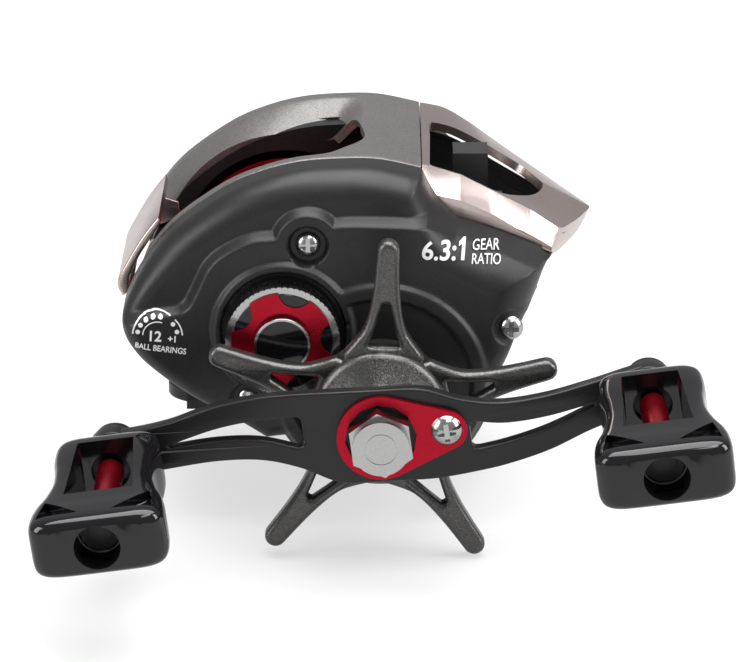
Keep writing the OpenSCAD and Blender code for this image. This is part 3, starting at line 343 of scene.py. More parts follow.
def join(name, meshes):
    bm = bmesh.new()
    for m in meshes:
        bm.from_mesh(m)
    out = bpy.data.meshes.new(name)
    bm.to_mesh(out)
    bm.free()
    return out


SPOOL = (-8.5, 22.5)
DRIVE = (9.0, 12.0)
NEAR_OUT, FAR_IN, HOOD_END = -15.5, 14.0, 26.3
back_line = [(-3.3, -21.8), (-9.1, -18.1), (-17.2, -13.5), (-24.4, -7.9), (-27.9, -3.6), (-29.1, 0), (-28.7, 3),
    (-25.7, 9), (-20.2, 16), (-11.1, 22.7), (-4, 25.9), (3.1, 27.7), (11.1, 28.3), (17.5, 28.1), (24.8, 26.5)]
notch_line = [(24.8, 26.5), (26.8, 22.6), (29.2, 19.2), (31.3, 17.2)]
front_line = [(31.3, 17.2), (38.8, 14.9), (48.2, 10.8), (47.2, 9), (44.8, 2.8), (41.5, -3.5), (39.7, -7.7), (35, -17)]
outline = moved(curve(back_line, 8)[:-1] + curve(notch_line, 6)[:-1] + curve(front_line, 6), *SPOOL)
HOUSING_R = 20.6


# Handle-side cover
# A grid of rays from the middle of the cover carries the shell's depth: two levels with a slanted band
# between them, the round gear housing, the collar of the tension knob and the screw bosses.
def segments_distance(px, pz, line):
    best = np.full(px.shape, 1e9)
    for (ax, az), (bx, bz) in zip(line[:-1], line[1:]):
        dx, dz = bx - ax, bz - az
        t = np.clip(((px - ax) * dx + (pz - az) * dz) / (dx * dx + dz * dz + 1e-9), 0, 1)
        best = np.minimum(best, np.hypot(px - ax - t * dx, pz - az - t * dz))
    return best


def inside(px, pz, loop):
    odd = np.zeros(px.shape, bool)
    for (ax, az), (bx, bz) in zip(loop, loop[1:] + loop[:1]):
        cut = ((az > pz) != (bz > pz)) & (px < (bx - ax) * (pz - az) / (bz - az + 1e-12) + ax)
        odd ^= cut
    return odd


def blend_step(d, width):
    """0 to 1 as d goes from -width/2 to width/2."""
    t = np.clip(d / width + 0.5, 0, 1)
    return t * t * (3 - 2 * t)


def cover_rays(count, centre):
    """Distance from the centre to the rim of the cover, for each ray."""
    loop = outline + [outline[0]]
    radii = []
    for k in range(count):
        a = 2 * math.pi * k / count
        ux, uz = math.cos(a), math.sin(a)
        far = 0.0
        for (ax, az), (bx, bz) in zip(loop[:-1], loop[1:]):
            ex, ez = bx - ax, bz - az
            den = ux * ez - uz * ex
            if abs(den) < 1e-9:
                continue
            t = ((ax - centre[0]) * ez - (az - centre[1]) * ex) / den
            s = ((ax - centre[0]) * uz - (az - centre[1]) * ux) / den
            if t > 0 and -1e-6 <= s <= 1 + 1e-6:
                far = max(far, t)
        ox, oz = DRIVE[0] - centre[0], DRIVE[1] - centre[1]
        mid = ox * ux + oz * uz
        root = mid * mid - ox * ox - oz * oz + HOUSING_R ** 2
        if root > 0:
            far = max(far, mid + math.sqrt(root))
        radii.append(far)
    return np.array(radii)


rays, rings_in = 560, 150
cover_mid = (3.0, 24.0)
reach = cover_rays(rays, cover_mid)
ang = 2 * np.pi * np.arange(rays) / rays
frac = np.concatenate([np.linspace(0.02, 0.86, rings_in - 40), 1 - 0.14 * (1 - np.linspace(0.02, 1, 40)) ** 1.4])
px = cover_mid[0] + np.outer(np.cos(ang) * reach, frac)
pz = cover_mid[1] + np.outer(np.sin(ang) * reach, frac)
rim = segments_distance(px, pz, outline + [outline[0]])
house = HOUSING_R - np.hypot(px - DRIVE[0], pz - DRIVE[1])
rim = np.where(inside(px, pz, outline), np.maximum(rim, house), house)
rim = np.maximum(rim, 0)
step_pts = moved(curve([(-30, 1.2), (-24, 3.2), (-18.6, 4.2), (-16.8, 6.7), (-15.5, 9.5), (-14.1, 12.2), (-11.3, 14.9),
    (-5.9, 17.6), (0, 18.4), (10.5, 20.6), (26, 20.2)], 6), *SPOOL)
step_side = inside(px, pz, step_pts + moved([(60, 5), (60, -60), (-60, -60), (-60, 0)], *SPOOL))
to_step = segments_distance(px, pz, step_pts + moved([(60, 5)], *SPOOL)) * np.where(step_side, 1, -1)
low = blend_step(to_step - 0.6, 2.0)
boss = blend_step(6.2 - np.hypot(px + 4, pz - 38.3), 1.6)
leg = np.where(pz < 38.3, blend_step(6.2 - np.abs(px + 4), 1.6), 0)
low = np.maximum(low, np.maximum(boss, leg * (pz > 30)))
level = -25.9 - 2.4 * low
level -= 1.0 * blend_step(HOUSING_R - 1.4 - np.hypot(px - DRIVE[0], pz - DRIVE[1]), 1.3)
level += 0.7 * blend_step(HOUSING_R - 4.2 - np.hypot(px - DRIVE[0], pz - DRIVE[1]), 0.8) * (
    np.hypot(px - SPOOL[0], pz - SPOOL[1]) > 12)
tens = np.hypot(px - SPOOL[0], pz - SPOOL[1])
collar = blend_step(12.7 - tens, 1.4)
level = level * (1 - collar) + np.minimum(level, -29.4) * collar
level = np.where(tens < 11.4, level + blend_step(11.2 - tens, 0.6) * (-28.2 - level), level)
for sx, sz, pocket, deep in ((-4, 38.3, 3.5, -26.7), (32.4, 22.5, 3.1, -27.6), (-15, 9, 3.1, -27.4)):
    hole = blend_step(pocket - np.hypot(px - sx, pz - sz), 0.8)
    level = level * (1 - hole) + deep * hole
tip_side = np.clip((px - 14) / 14, 0, 1) * np.clip((pz - 18) / 8, 0, 1)
soft = 3.2 + 2.0 * np.clip((pz - 25) / 10, 0, 1) + 5.0 * tip_side
drop = np.where(rim < soft, soft - np.sqrt(np.maximum(soft ** 2 - (soft - rim) ** 2, 0)), 0)
py = np.minimum(level + drop * 1.15, -15.8)
verts, faces = [], []
for k in range(rays):
    for j in range(rings_in):
        verts.append((px[k, j], py[k, j], pz[k, j]))
front_mid = len(verts)
verts.append((cover_mid[0], float(py[:, 0].mean()), cover_mid[1]))
for k in range(rays):
    n = (k + 1) % rays
    faces.append((front_mid, n * rings_in, k * rings_in))
    for j in range(rings_in - 1):
        faces.append((k * rings_in + j, n * rings_in + j, n * rings_in + j + 1, k * rings_in + j + 1))
base_ring = len(verts)
for k in range(rays):
    verts.append((px[k, -1], -15.6, pz[k, -1]))
back_mid = len(verts)
verts.append((cover_mid[0], -15.6, cover_mid[1]))
for k in range(rays):
    n = (k + 1) % rays
    faces.append((k * rings_in + rings_in - 1, n * rings_in + rings_in - 1, base_ring + n, base_ring + k))
    faces.append((back_mid, base_ring + k, base_ring + n))
tube = plate("drive tube", [ring(*DRIVE, 7.6), ring(*DRIVE, 4.4)], -34.7, -28.0, 0.5)
cover = piece("handle_side_shell", join("handle_side_shell", [mesh_mm("shell", verts, faces), tube]),
    "handle_side_cover", angle=40)


# Hood, nose and thumb bar
# The hood and the nose are each one thin sheet bent over the reel, with windows cut out and edges snapped to the
# window's line; the thumb bar is a flat pad with two lugs.
def lines(count, marks):
    """Even steps from 0 to 1, with the nearest step moved onto each mark."""
    out = np.linspace(0, 1, count)
    for m in marks:
        out[np.argmin(np.abs(out - m))] = m
    return out


def sheet(name, nu, nv, place, holes, thick, marks_u=(), marks_v=()):
    """Grid sheet with holes. place(u, v) gives mm, and each hole is a loop of (u, v) that edge points snap to."""
    us, vs = np.meshgrid(lines(nu, marks_u), lines(nv, marks_v), indexing="ij")
    keep = np.ones((nu - 1, nv - 1), bool)
    mu = (us[:-1, :-1] + us[1:, 1:]) / 2
    mv = (vs[:-1, :-1] + vs[1:, 1:]) / 2
    for loop in holes:
        keep &= ~inside(mu, mv, loop)
    used = np.zeros((nu, nv), int)
    for di in (0, 1):
        for dj in (0, 1):
            used[di:nu - 1 + di, dj:nv - 1 + dj] += keep
    uu, vv = us.copy(), vs.copy()
    for loop in holes:
        closed = loop + [loop[0]]
        for i in range(1, nu - 1):
            for j in range(1, nv - 1):
                if 0 < used[i, j] < 4:
                    best, spot = 1e9, None
                    for (a, b), (c, d) in zip(closed[:-1], closed[1:]):
                        s = max(0.0, min(1.0, ((us[i, j] - a) * (c - a) + (vs[i, j] - b) * (d - b)) / (
                            (c - a) ** 2 + (d - b) ** 2 + 1e-12)))
                        q = (a + s * (c - a), b + s * (d - b))
                        far = ((q[0] - us[i, j]) * nu) ** 2 + ((q[1] - vs[i, j]) * nv) ** 2
                        if far < best:
                            best, spot = far, q
                    if best < 2.6:
                        uu[i, j], vv[i, j] = spot
    index = -np.ones((nu, nv), int)
    verts, faces = [], []
    for i in range(nu):
        for j in range(nv):
            if used[i, j]:
                index[i, j] = len(verts)
                verts.append(place(uu[i, j], vv[i, j]))
    for i in range(nu - 1):
        for j in range(nv - 1):
            if keep[i, j]:
                faces.append((index[i, j], index[i, j + 1], index[i + 1, j + 1], index[i + 1, j]))
    mesh = mesh_mm(name, verts, faces)
    bm = bmesh.new()
    bm.from_mesh(mesh)
    bmesh.ops.recalc_face_normals(bm, faces=bm.faces)
    top = max(bm.faces, key=lambda f: f.calc_center_median().z)
    if top.normal.z < 0:
        bmesh.ops.reverse_faces(bm, faces=bm.faces)
    bmesh.ops.solidify(bm, geom=bm.faces[:], thickness=thick * 0.001)
    bm.to_mesh(mesh)
    bm.free()
    return mesh


def rounded(points, r, n=5):
    """Loop with its corners rounded by a fraction of the shorter side at each corner."""
    out = []
    count = len(points)
    for i in range(count):
        a, b, c = (np.array(points[k % count], float) for k in (i - 1, i, i + 1))
        ra = b + (a - b) * r[i] / max(np.linalg.norm(a - b), 1e-9)
        rc = b + (c - b) * r[i] / max(np.linalg.norm(c - b), 1e-9)
        for k in range(n + 1):
            t = k / n
            out.append(tuple((1 - t) ** 2 * ra + 2 * t * (1 - t) * b + t * t * rc))
    return out


hood_path = [q for q in curve(back_line, 12) if q[1] > 9.0 and q[0] > -30]
hood_len = np.concatenate([[0], np.cumsum([math.dist(a, b) for a, b in zip(hood_path[:-1], hood_path[1:])])])
hood_u = hood_len / hood_len[-1]
hood_x = np.array([q[0] for q in hood_path])
hood_z = np.array([q[1] for q in hood_path])


def hood_place(u, v):
    x = float(np.interp(u, hood_u, hood_x))
    z = float(np.interp(u, hood_u, hood_z))
    y = NEAR_OUT + v * (HOOD_END - NEAR_OUT)
    edge = min(y - NEAR_OUT, HOOD_END - y)
    inset = 0.0
    if edge < 1.2:
        inset = 1.2 - math.sqrt(max(1.44 - (1.2 - edge) ** 2, 0))
    bridge = min(max((x - 9.5) / 5.0, 0), 1)
    bridge = bridge * bridge * (3 - 2 * bridge)
    if y > -15:
        slope = min(max((22.5 - y) / 8.5, 0), 1)
        slope = slope ** 1.25 if y > FAR_IN else max(0, 1 - (FAR_IN - y) / 9) * 1.0
        r_out = math.hypot(x, z)
        inset += slope * (1 - bridge) * max(r_out - 23.6, 0)
    r = math.hypot(x, z)
    k = (r - inset) / r
    return (SPOOL[0] + x * k, y, SPOOL[1] + z * k)


def hood_u_at(x):
    return float(np.interp(x, hood_x, hood_u))


def v_at(y):
    return (y - NEAR_OUT) / (HOOD_END - NEAR_OUT)


open_loop = rounded([(-0.02, v_at(-12.6)), (hood_u_at(8.0), v_at(-12.6)), (hood_u_at(15.0), v_at(-4.0)),
    (hood_u_at(12.5), v_at(14.0)), (-0.02, v_at(14.0))], [0.001, 0.05, 0.08, 0.06, 0.001], 8)
hood = piece("thumb_hood", sheet("thumb hood", 210, 110, hood_place, [open_loop], 1.6), "thumb_rest_hood", angle=38)

nose_dx = 56.5
roof = [(25, 26.4), (30.7, 25.4), (36.4, 22.9), (42.1, 19.8), (47.9, 16.7), (nose_dx, 12.2)]
wall = [(nose_dx, 12.2), (nose_dx - 2.0, 7.9), (nose_dx - 5.6, 3.4), (nose_dx - 8.8, -2.1), (nose_dx - 10.2, -5.5)]
nose_path = curve(roof, 14)[:-1] + curve(wall, 14)
nose_len = np.concatenate([[0], np.cumsum([math.dist(a, b) for a, b in zip(nose_path[:-1], nose_path[1:])])])
nose_u = nose_len / nose_len[-1]
nose_x = np.array([q[0] for q in nose_path])
nose_z = np.array([q[1] for q in nose_path])
nose_tip_u = float(nose_u[len(curve(roof, 14)) - 1])
rail_line = ((16.0, 17.5, 23.6, 31.1, 36.3, 42.5), (48.6, 48.4, 46.5, 42.6, 39.9, 35.6))
crease_line = ((16.0, 19.7, 23.3, 28.8, 34.3, 40.4), (44.6, 43.6, 42.8, 40.3, 37.0, 33.6))
strip_line = ((16.3, 22.8, 30.3, 39.7), (42.0, 39.0, 36.9, 33.1))


def nose_place(u, v):
    """The near edge has a slanted rail and, below its crease, an upright strip that meets the side cover."""
    x, z = float(np.interp(u, nose_u, nose_x)), float(np.interp(u, nose_u, nose_z))
    strip, crease = 0.05, 0.15
    if v < strip:
        y = -15.5
    elif v < crease:
        y = -15.45 + 3.25 * (v - strip) / (crease - strip)
    else:
        y = -12.2 + (v - crease) / (1 - crease) * (HOOD_END + 12.2)
    back = 0.405 * (math.sqrt((y - 5) ** 2 + 0.6) - 0.77)
    on_roof = min(u, nose_tip_u)
    rx, rz = float(np.interp(on_roof, nose_u, nose_x)), float(np.interp(on_roof, nose_u, nose_z)) + SPOOL[1]
    here = SPOOL[0] + rx - back * ((rx - 25) / 31.5) ** 1.1
    at_rail, at_crease = rz - float(np.interp(here, *rail_line)), rz - float(np.interp(here, *crease_line))
    if y < -12.2:
        k = (y + 15.45) / 3.25 if v >= strip else 0
        fall = at_crease + (at_rail - at_crease) * k * (0.8 + 0.2 * k)
        if v < strip and u <= nose_tip_u:
            fall += (1 - v / strip) * max(0, float(np.interp(here, *crease_line)) - float(np.interp(here, *strip_line)))
    else:
        t = min(max((y + 12.2) / 12, 0), 1)
        fall = at_rail * (1 - t * t * (3 - 2 * t))
    edge = HOOD_END - y
    inset = 1.2 - math.sqrt(max(1.44 - (1.2 - edge) ** 2, 0)) if edge < 1.2 else 0
    share = ((x - 25) / 31.5) ** 1.1 if u < nose_tip_u else 1
    return (SPOOL[0] + x - back * share, y, SPOOL[1] + z - fall - inset)


def nose_v(y):
    return 0.15 + (y + 12.2) / (HOOD_END + 12.2) * 0.85


def nose_u_at(x):
    return float(np.interp(x, nose_x[:70], nose_u[:70]))


def nose_wall_u(z):
    k = len(curve(roof, 14)) - 1
    return float(np.interp(-z, -nose_z[k:], nose_u[k:]))


window = rounded([(nose_u_at(26.6), nose_v(-11.8)), (nose_u_at(43.0), nose_v(-11.8)), (nose_u_at(48.6), nose_v(0)),
    (nose_u_at(46.0), nose_v(13.4)), (nose_u_at(26.6), nose_v(13.4))], [0.02, 0.08, 0.1, 0.08, 0.02], 8)
gate = rounded([(nose_wall_u(6.0), nose_v(-10)), (nose_wall_u(6.0), nose_v(12)), (nose_wall_u(-3.6), nose_v(12)),
    (nose_wall_u(-3.6), nose_v(-10))], [0.04] * 4, 6)
nose = piece("nose_shell", sheet("nose cover", 150, 120, nose_place, [window, gate], 1.5,
    [nose_tip_u], [0.05, 0.15]), "nose_cover", angle=38)

inside_line = [nose_place(u, nose_v(14)) for u in np.linspace(0.02, nose_tip_u, 24)]
inside_loop = [(x - 1.2, z - 2.0) for x, y, z in inside_line] + [(40, 22), (14, 22)]
lining = piece("nose_back_wall", plate("lining", [inside_loop], 14.2, 15.4, 0.2), "frame", False)

thumb_out = [(-23.0, 15.9), (-26.0, 12.0), (-28.8, 7.4), (-30.8, 3.2), (-29.9, 0.5)]
thumb_back = [(-28.2, 1.6), (-28.6, 4), (-26.9, 7.8), (-24.8, 11.2), (-22.6, 14.6)]
thumb_lug = [(-27, 5), (-22.6, 6.6), (-20.4, 8), (-20.8, 10.4), (-24.4, 11.6)]
thumb_meshes = [plate("pad", [moved(curve(thumb_out, 8) + curve(thumb_back, 8), *SPOOL)], -11.97, 13.97, 0.5)]
for y in (-11.97, 13.07):
    thumb_meshes.append(plate("lug", [moved(thumb_lug, *SPOOL)], y, y + 0.9, 0.1))
thumb = piece("thumb_pad", join("thumb pad", thumb_meshes), "thumb_bar", angle=38)


# Star wheel and handle
# Both are rounded plates, and the ends of the handle bend back towards the reel.
star_flank = curve([(7.2, 10.3), (13.5, 5.2), (17, 3.3), (23, 2.3), (30.3, 1.9)], 8)[5:]
star_tip = [(30.3 + 1.9 * math.cos(a), 1.9 * math.sin(a)) for a in np.radians(np.arange(75, -76, -15))]
star_arm = star_flank + star_tip + [(x, -z) for x, z in reversed(star_flank)] + [(7.5, -7.0), (7.5, 7.0)]
star_slot = rounded([(12.6, 2.7), (20.5, 0.45), (20.5, -0.45), (12.6, -2.7)], [0.45, 0.3, 0.3, 0.45], 4)
star_meshes = []
for i in range(5):
    loops = [moved(star_arm, *DRIVE, 87.5 + i * 72), moved(star_slot, *DRIVE, 87.5 + i * 72)]
    star_meshes.append(plate("arm", loops, -43.1, -39.5, 1.15, 5))


def turned(name, profile, centre, steps=128):
    """Ring turned about the Y axis through a centre; the profile is a closed loop of (radius, y)."""
    verts, faces = [], []
    n = len(profile)
    for i in range(steps):
        c, q = math.cos(2 * math.pi * i / steps), math.sin(2 * math.pi * i / steps)
        verts += [(centre[0] + r * c, y, centre[1] + r * q) for r, y in profile]
        k = (i + 1) % steps
        faces += [(i * n + j, i * n + (j + 1) % n, k * n + (j + 1) % n, k * n + j) for j in range(n)]
    return mesh_mm(name, verts, faces)


star_meshes.append(turned("hub", [(3.5, -47.9), (5.6, -47.9), (6.2, -47.7), (6.6, -47.2), (7.4, -46.4), (11.0, -44.6),
    (11.7, -44.1), (12.0, -43.4), (12.0, -36.7), (11.8, -36.2), (11.2, -35.9), (6.9, -35.9), (6.9, -37.7), (3.5, -37.7)],
    DRIVE))
star = piece("star_drag_wheel", join("star drag wheel", star_meshes), "star_wheel", angle=40)

SPAN, HUB = 95.0, 8.6
bar_under = [(0, -HUB), (8, -9.2), (14.7, -9.3), (21.3, -9), (28.9, -7.8), (37, -5.4), (44.5, -4.2), (47.5, -4.6)]
bar_over = [(47.5, 4.6), (44.5, 4.3), (37, 3.2), (28.9, 2.4), (21.3, 2.7), (14.7, 4.6), (8, 7.8), (0, HUB)]
knob_end = [(47.5 + 4.6 * math.cos(a), 4.6 * math.sin(a)) for a in np.radians(np.arange(-80, 81, 10))]
half_bar = curve(bar_under, 10)[:-1] + knob_end + curve(bar_over, 10)[1:]
handle_rim = half_bar[:-1] + [(-x, -z) for x, z in half_bar[:-1]]


def handle_slot(start):
    low_line = curve([(x, z + 4.2) for x, z in bar_under[2:6]], 10)
    high_line = curve([(x, z - 3.9) for x, z in bar_over[2:6]], 10)
    loop = [(x, z) for x, z in low_line if x > start + 1.2]
    loop += [(37.4, -1.1), (37.5, -0.95), (37.4, -0.8)]
    loop += [(x, z) for x, z in high_line if x > start + 0.6]
    zl, zh = loop[0][1], loop[-1][1]
    xs = loop[0][0]
    return loop + [(xs - 0.9, zh - 0.3), (xs - 1.3, zh - 0.9), (xs - 1.3, zl + 0.7), (xs - 0.8, zl + 0.15)]


def bend_handle(mesh):
    """Sweeps the arms of a straight handle back, beyond its hub."""
    bm = bmesh.new()
    bm.from_mesh(mesh)
    for x in (-12.5, -10.5, -8.6, -6.7, 6.7, 8.6, 10.5, 12.5):
        bmesh.ops.bisect_plane(bm, geom=bm.verts[:] + bm.edges[:] + bm.faces[:], plane_co=(x * 0.001, 0, 0),
            plane_no=(1, 0, 0), dist=1e-7)
    for v in bm.verts:
        past = (abs(v.co.x) * 1000 - HUB)
        past = max(past, 0) if abs(past) > 2 else (past + 2) ** 2 / 8
        v.co.y += min(past / (SPAN / 2 - HUB), 1.0) * 0.0065
    bm.to_mesh(mesh)
    bm.free()
    return mesh


arm_parts = [bend_handle(plate("arm", [handle_rim, handle_slot(15.4), [(-x, -z) for x, z in handle_slot(9.4)]],
    -53.1, -50.5, 0.42, 4))]
for side in (-1, 1):
    arm_parts.append(plate("boss", [ring(side * SPAN / 2, 0, 4.6), ring(side * SPAN / 2, 0, 2.05, 32)],
        -47.5, -43.5, 0.5, 4))
at_drive = Matrix.Translation((0.009, 0, 0.012)) @ Matrix.Rotation(math.radians(-7.5), 4, "Y")
swept = join("swept handle", arm_parts)
swept.transform(at_drive)
handle = piece("swept_handle", swept, "handle_arm", angle=38)


# Knobs
# Each paddle is narrow in the middle and swells to its outer end, with a square window,
# two triangular pockets on both faces and a round hole in the outer end.
def knob_cage(lengthwise, across, upward):
    """Half width and half height of the paddle at a distance from its inner end, in mm."""
    half_w = np.interp(lengthwise, *across)
    half_h = np.interp(lengthwise, *upward)
    return half_w, half_h


def smooth_table(points, n=12):
    line = curve(points, n)
    return [q[0] for q in line], [q[1] for q in line]


knob_w = smooth_table([(0, 5.2), (1.2, 7.4), (4, 9.0), (9, 9.2), (15, 8.7), (20, 8.8), (25, 9.8), (29.5, 11.1), (34, 11.5),
    (37, 11.2), (38.5, 9.9), (39, 8.2)])
knob_h = smooth_table([(0, 3.4), (1.2, 4.8), (4, 5.8), (9, 5.9), (15, 5.6), (20, 5.3), (25, 5.15), (29.5, 5.2), (33, 5.35),
    (37, 5.3), (38.5, 4.6), (39, 3.8)])


def knob_mesh(name, y_start):
    rows, round_n = 76, 64
    verts, faces = [], []
    ts = 39 * (0.5 - 0.5 * np.cos(np.pi * np.linspace(0, 1, rows)))
    for t in ts:
        w, h = knob_cage(t, knob_w, knob_h)
        for k in range(round_n):
            a = 2 * math.pi * (k + 0.5) / round_n
            c, q = math.cos(a), math.sin(a)
            e = 0.34
            x = w * math.copysign(abs(c) ** e, c)
            z = h * math.copysign(abs(q) ** e, q)
            verts.append((x, y_start - t, z))
    for i in range(rows - 1):
        for k in range(round_n):
            n = (k + 1) % round_n
            faces.append((i * round_n + k, i * round_n + n, (i + 1) * round_n + n, (i + 1) * round_n + k))
    faces.append(tuple(range(round_n)))
    faces.append(tuple(reversed(range((rows - 1) * round_n, rows * round_n))))
    return mesh_mm(name, verts, faces)


def cutter(mesh):
    obj = bpy.data.objects.new("cutter", mesh)
    scene.collection.objects.link(obj)
    return obj


def cut(mesh, tools):
    """Subtracts meshes from a mesh and returns the result."""
    obj = bpy.data.objects.new("cut", mesh)
    scene.collection.objects.link(obj)
    helpers = [cutter(t) for t in tools]
    for h in helpers:
        mod = obj.modifiers.new("cut", "BOOLEAN")
        mod.operation = "DIFFERENCE"
        mod.solver = "EXACT"
        mod.object = h
    bpy.context.view_layer.update()
    out = bpy.data.meshes.new_from_object(obj.evaluated_get(bpy.context.evaluated_depsgraph_get()))
    for o in helpers + [obj]:
        bpy.data.objects.remove(o)
    return out


def upright(name, loop, z0, z1, edge):
    """Prism of an (x, y) loop between two heights, with rounded edges."""
    mesh = plate(name, [loop], -z1, -z0, edge, 3)
    mesh.transform(Matrix(((1, 0, 0, 0), (0, 0, 1, 0), (0, -1, 0, 0), (0, 0, 0, 1))))
    return mesh


KNOB_Y1 = -47.8
KNOB_Y0 = KNOB_Y1 - 39
for node_name, side in (("rear_knob", -1), ("front_knob", 1)):
    body = knob_mesh("paddle", KNOB_Y1)
    tools = [upright("window", rounded([(-5.9, KNOB_Y0 + 12.6), (5.9, KNOB_Y0 + 12.6), (4.9, KNOB_Y1 - 6.0),
        (-4.9, KNOB_Y1 - 6.0)], [0.16, 0.16, 0.3, 0.3], 6), -8, 8, 0.3)]
    for face in (-1, 1):
        for flip in (-1, 1):
            loop = rounded([(flip * 2.8, KNOB_Y0 + 3.6), (flip * 8.9, KNOB_Y0 + 10.2), (flip * 10.0, KNOB_Y0 + 3.4)],
                [0.12] * 3, 4)
            tools.append(upright("pocket", loop, 3.4 if face > 0 else -8, 8 if face > 0 else -3.4, 0.3))
    tools.append(plate("hole", [ring(0, 0, 3.9, 48)], KNOB_Y0 - 2, KNOB_Y0 + 6.8, 0.1, 1))
    tools.append(plate("bore", [ring(0, 0, 3.45, 48)], KNOB_Y0 + 5, KNOB_Y0 + 13, 0.1, 1))
    tools.append(plate("inner", [ring(0, 0, 3.45, 48)], KNOB_Y1 - 7, KNOB_Y1 + 1, 0.1, 1))
    body = cut(body, tools)
    body.transform(at_drive @ Matrix.Translation((side * SPAN * 0.0005, 0, 0)))
    knob = piece(node_name + "_paddle", body, node_name, angle=30)
    round_edge = knob.modifiers.new("edge", "BEVEL")
    round_edge.width = 0.0005
    round_edge.segments = 3
    round_edge.limit_method = "ANGLE"
    round_edge.angle_limit = math.radians(40)

sleeve_rim = [(2.03, KNOB_Y0 + 12.7), (2.35, KNOB_Y0 + 12.7), (2.35, KNOB_Y1 - 6.2), (2.03, KNOB_Y1 - 6.2)]
sleeves = join("sleeves", [turned("sleeve", sleeve_rim, (side * SPAN / 2, 0), 64) for side in (-1, 1)])
sleeves.transform(at_drive)
piece("knob_sleeve_pair", sleeves, "knob_sleeves")

for n, o in nodes.items():
    if n not in ("knob_sleeves", "handle_side_cover", "thumb_rest_hood", "nose_cover", "thumb_bar", "star_wheel", "handle_arm",
                 "rear_knob", "front_knob"):
        rim_mod = o.modifiers.new("edge", "BEVEL")
        rim_mod.width = 0.00012
        rim_mod.segments = 2
        rim_mod.limit_method = "ANGLE"
        rim_mod.angle_limit = math.radians(40)

guide_edge = nodes["line_guide"].modifiers["edge"]
guide_edge.width = 0.0009
guide_edge.segments = 4

# Tension knob
# A black face shows through the scallops of the red insert, inside the knob's bright milled rim.
face = turned("face", [(5.0, -34.28), (8.9, -34.28), (9.0, -34.2), (9.0, -34.06), (5.0, -34.06)], SPOOL)
piece("tension_face", face, "tension_knob", False, mat=mats["gloss_black"])
cap_ring = turned("ring", [(4.55, -36.1), (4.95, -36.1), (5.06, -35.9), (5.06, -35.6), (4.55, -35.6)], SPOOL)
piece("tension_cap_ring", cap_ring, "tension_cap", False, mat=mats["nickel"])


# Lettering
# White print on the side cover: the gear ratio on the front slope and the bearing count at the back,
# which has an arc of dots over it. Each letter is a thin mesh pressed onto the shell under it.
ink = surface("white print", (0.7, 0.7, 0.7), (0.85, 0.85, 0.85), 0.0, (0.4, 0.5), 2400, 0.05)
cover_mesh = cover.data
cover_tree = BVHTree.FromPolygons(
    [v.co.copy() for v in cover_mesh.vertices], [tuple(p.vertices) for p in cover_mesh.polygons])


def text_mesh(body, size, at, turn, stretch=1.0, bold=0.0):
    """Flat letters with their lower left corner at an XZ spot, in mm."""
    data = bpy.data.curves.new("print", "FONT")
    data.body = body
    data.size = size * 1.37
    data.offset = bold
    data.resolution_u = 6
    temp = bpy.data.objects.new("print", data)
    mesh = bpy.data.meshes.new_from_object(temp)
    bpy.data.objects.remove(temp)
    bpy.data.curves.remove(data)
    c, q = math.cos(math.radians(turn)), math.sin(math.radians(turn))
    for v in mesh.vertices:
        x, z = v.co.x * stretch, v.co.y
        v.co = (at[0] + x * c - z * q, 0, at[1] + x * q + z * c)
    return mesh


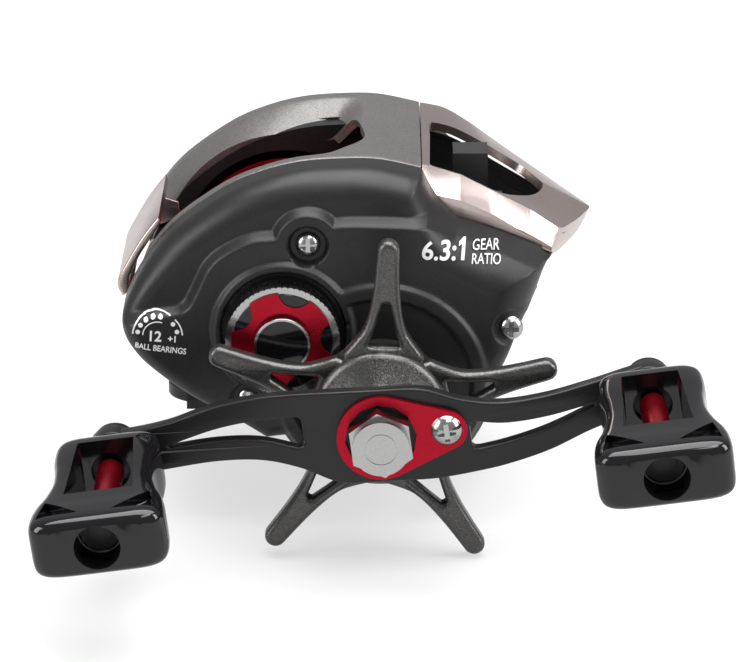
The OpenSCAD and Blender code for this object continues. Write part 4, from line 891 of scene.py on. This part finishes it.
def press(name, meshes):
    """Lays flat XZ meshes in mm on the cover and gives them a little thickness."""
    bm = bmesh.new()
    for m in meshes:
        bm.from_mesh(m)
    bmesh.ops.remove_doubles(bm, verts=bm.verts, dist=1e-4)
    bmesh.ops.triangulate(bm, faces=bm.faces)
    long_edges = [e for e in bm.edges if e.calc_length() > 0.7]
    bmesh.ops.subdivide_edges(bm, edges=long_edges, cuts=2)
    bmesh.ops.triangulate(bm, faces=bm.faces)
    for v in bm.verts:
        near = cover_tree.find_nearest(Vector((v.co.x * 0.001, -0.0284, v.co.z * 0.001)))
        spot, slope = near[0], near[1]
        rise = (slope.x * (v.co.x * 0.001 - spot.x) + slope.z * (v.co.z * 0.001 - spot.z)) / min(slope.y, -0.2)
        v.co = (v.co.x * 0.001, spot.y - rise - 0.00005, v.co.z * 0.001)
    for f in bm.faces:
        f.normal_update()
    back = [f for f in bm.faces if f.normal.y > 0]
    bmesh.ops.reverse_faces(bm, faces=back)
    bmesh.ops.solidify(bm, geom=bm.faces[:], thickness=0.00008)
    mesh = bpy.data.meshes.new(name)
    bm.to_mesh(mesh)
    bm.free()
    return piece(name, mesh, "handle_side_cover", False, mat=ink)


def disc_mesh(x, z, r, n=24):
    mesh = bpy.data.meshes.new("dot")
    loop = ring(x, z, r, n)
    mesh.from_pydata([(a, 0, b) for a, b in loop], [], [tuple(range(n))])
    return mesh


def arc_mesh(x, z, r0, r1, a0, a1, n=30):
    mesh = bpy.data.meshes.new("arc")
    pts = []
    for i in range(n + 1):
        a = math.radians(a0 + (a1 - a0) * i / n)
        pts += [(x + r0 * math.cos(a), 0, z + r0 * math.sin(a)), (x + r1 * math.cos(a), 0, z + r1 * math.sin(a))]
    mesh.from_pydata(pts, [], [(2 * i, 2 * i + 1, 2 * i + 3, 2 * i + 2) for i in range(n)])
    return mesh


one = bpy.data.meshes.new("one")
one.from_pydata([(x, 0, z) for x, z in moved([(0.55, 0), (1.15, 0), (1.15, 3.35), (0.72, 3.35), (0.0, 2.72), (0.0, 2.1), (0.55, 2.4)],
    22.75, 35.4, -6)], [], [tuple(range(7))])
press("ratio_print", [text_mesh("6.3:", 3.3, (16.1, 36.1), -6, 0.98, 0.09), one,
    text_mesh("GEAR", 1.6, (25.3, 36.6), -6, 0.9, 0.0), text_mesh("RATIO", 1.6, (25.1, 34.6), -6, 0.84, 0.0)])
dots = [disc_mesh(-31.1 + 3.6 * math.cos(math.radians(a)), 21.4 + 3.6 * math.sin(math.radians(a)), 0.42)
    for a in (12, 38, 80, 102, 124, 146, 168)]
press("bearing_print", dots + [arc_mesh(-31.1, 21.4, 4.35, 4.6, 58, 176), arc_mesh(-31.1, 21.4, 4.35, 4.6, 2, 44),
    arc_mesh(-31.1, 21.4, 2.55, 2.75, 70, 176), text_mesh("12", 2.0, (-33.0, 20.5), -4, 0.95, 0.06),
    text_mesh("+1", 1.2, (-29.3, 20.3), -4, 0.95, 0.05),
    text_mesh("BALL BEARINGS", 1.15, (-35.3, 19.0), -7, 0.84, 0.02)])
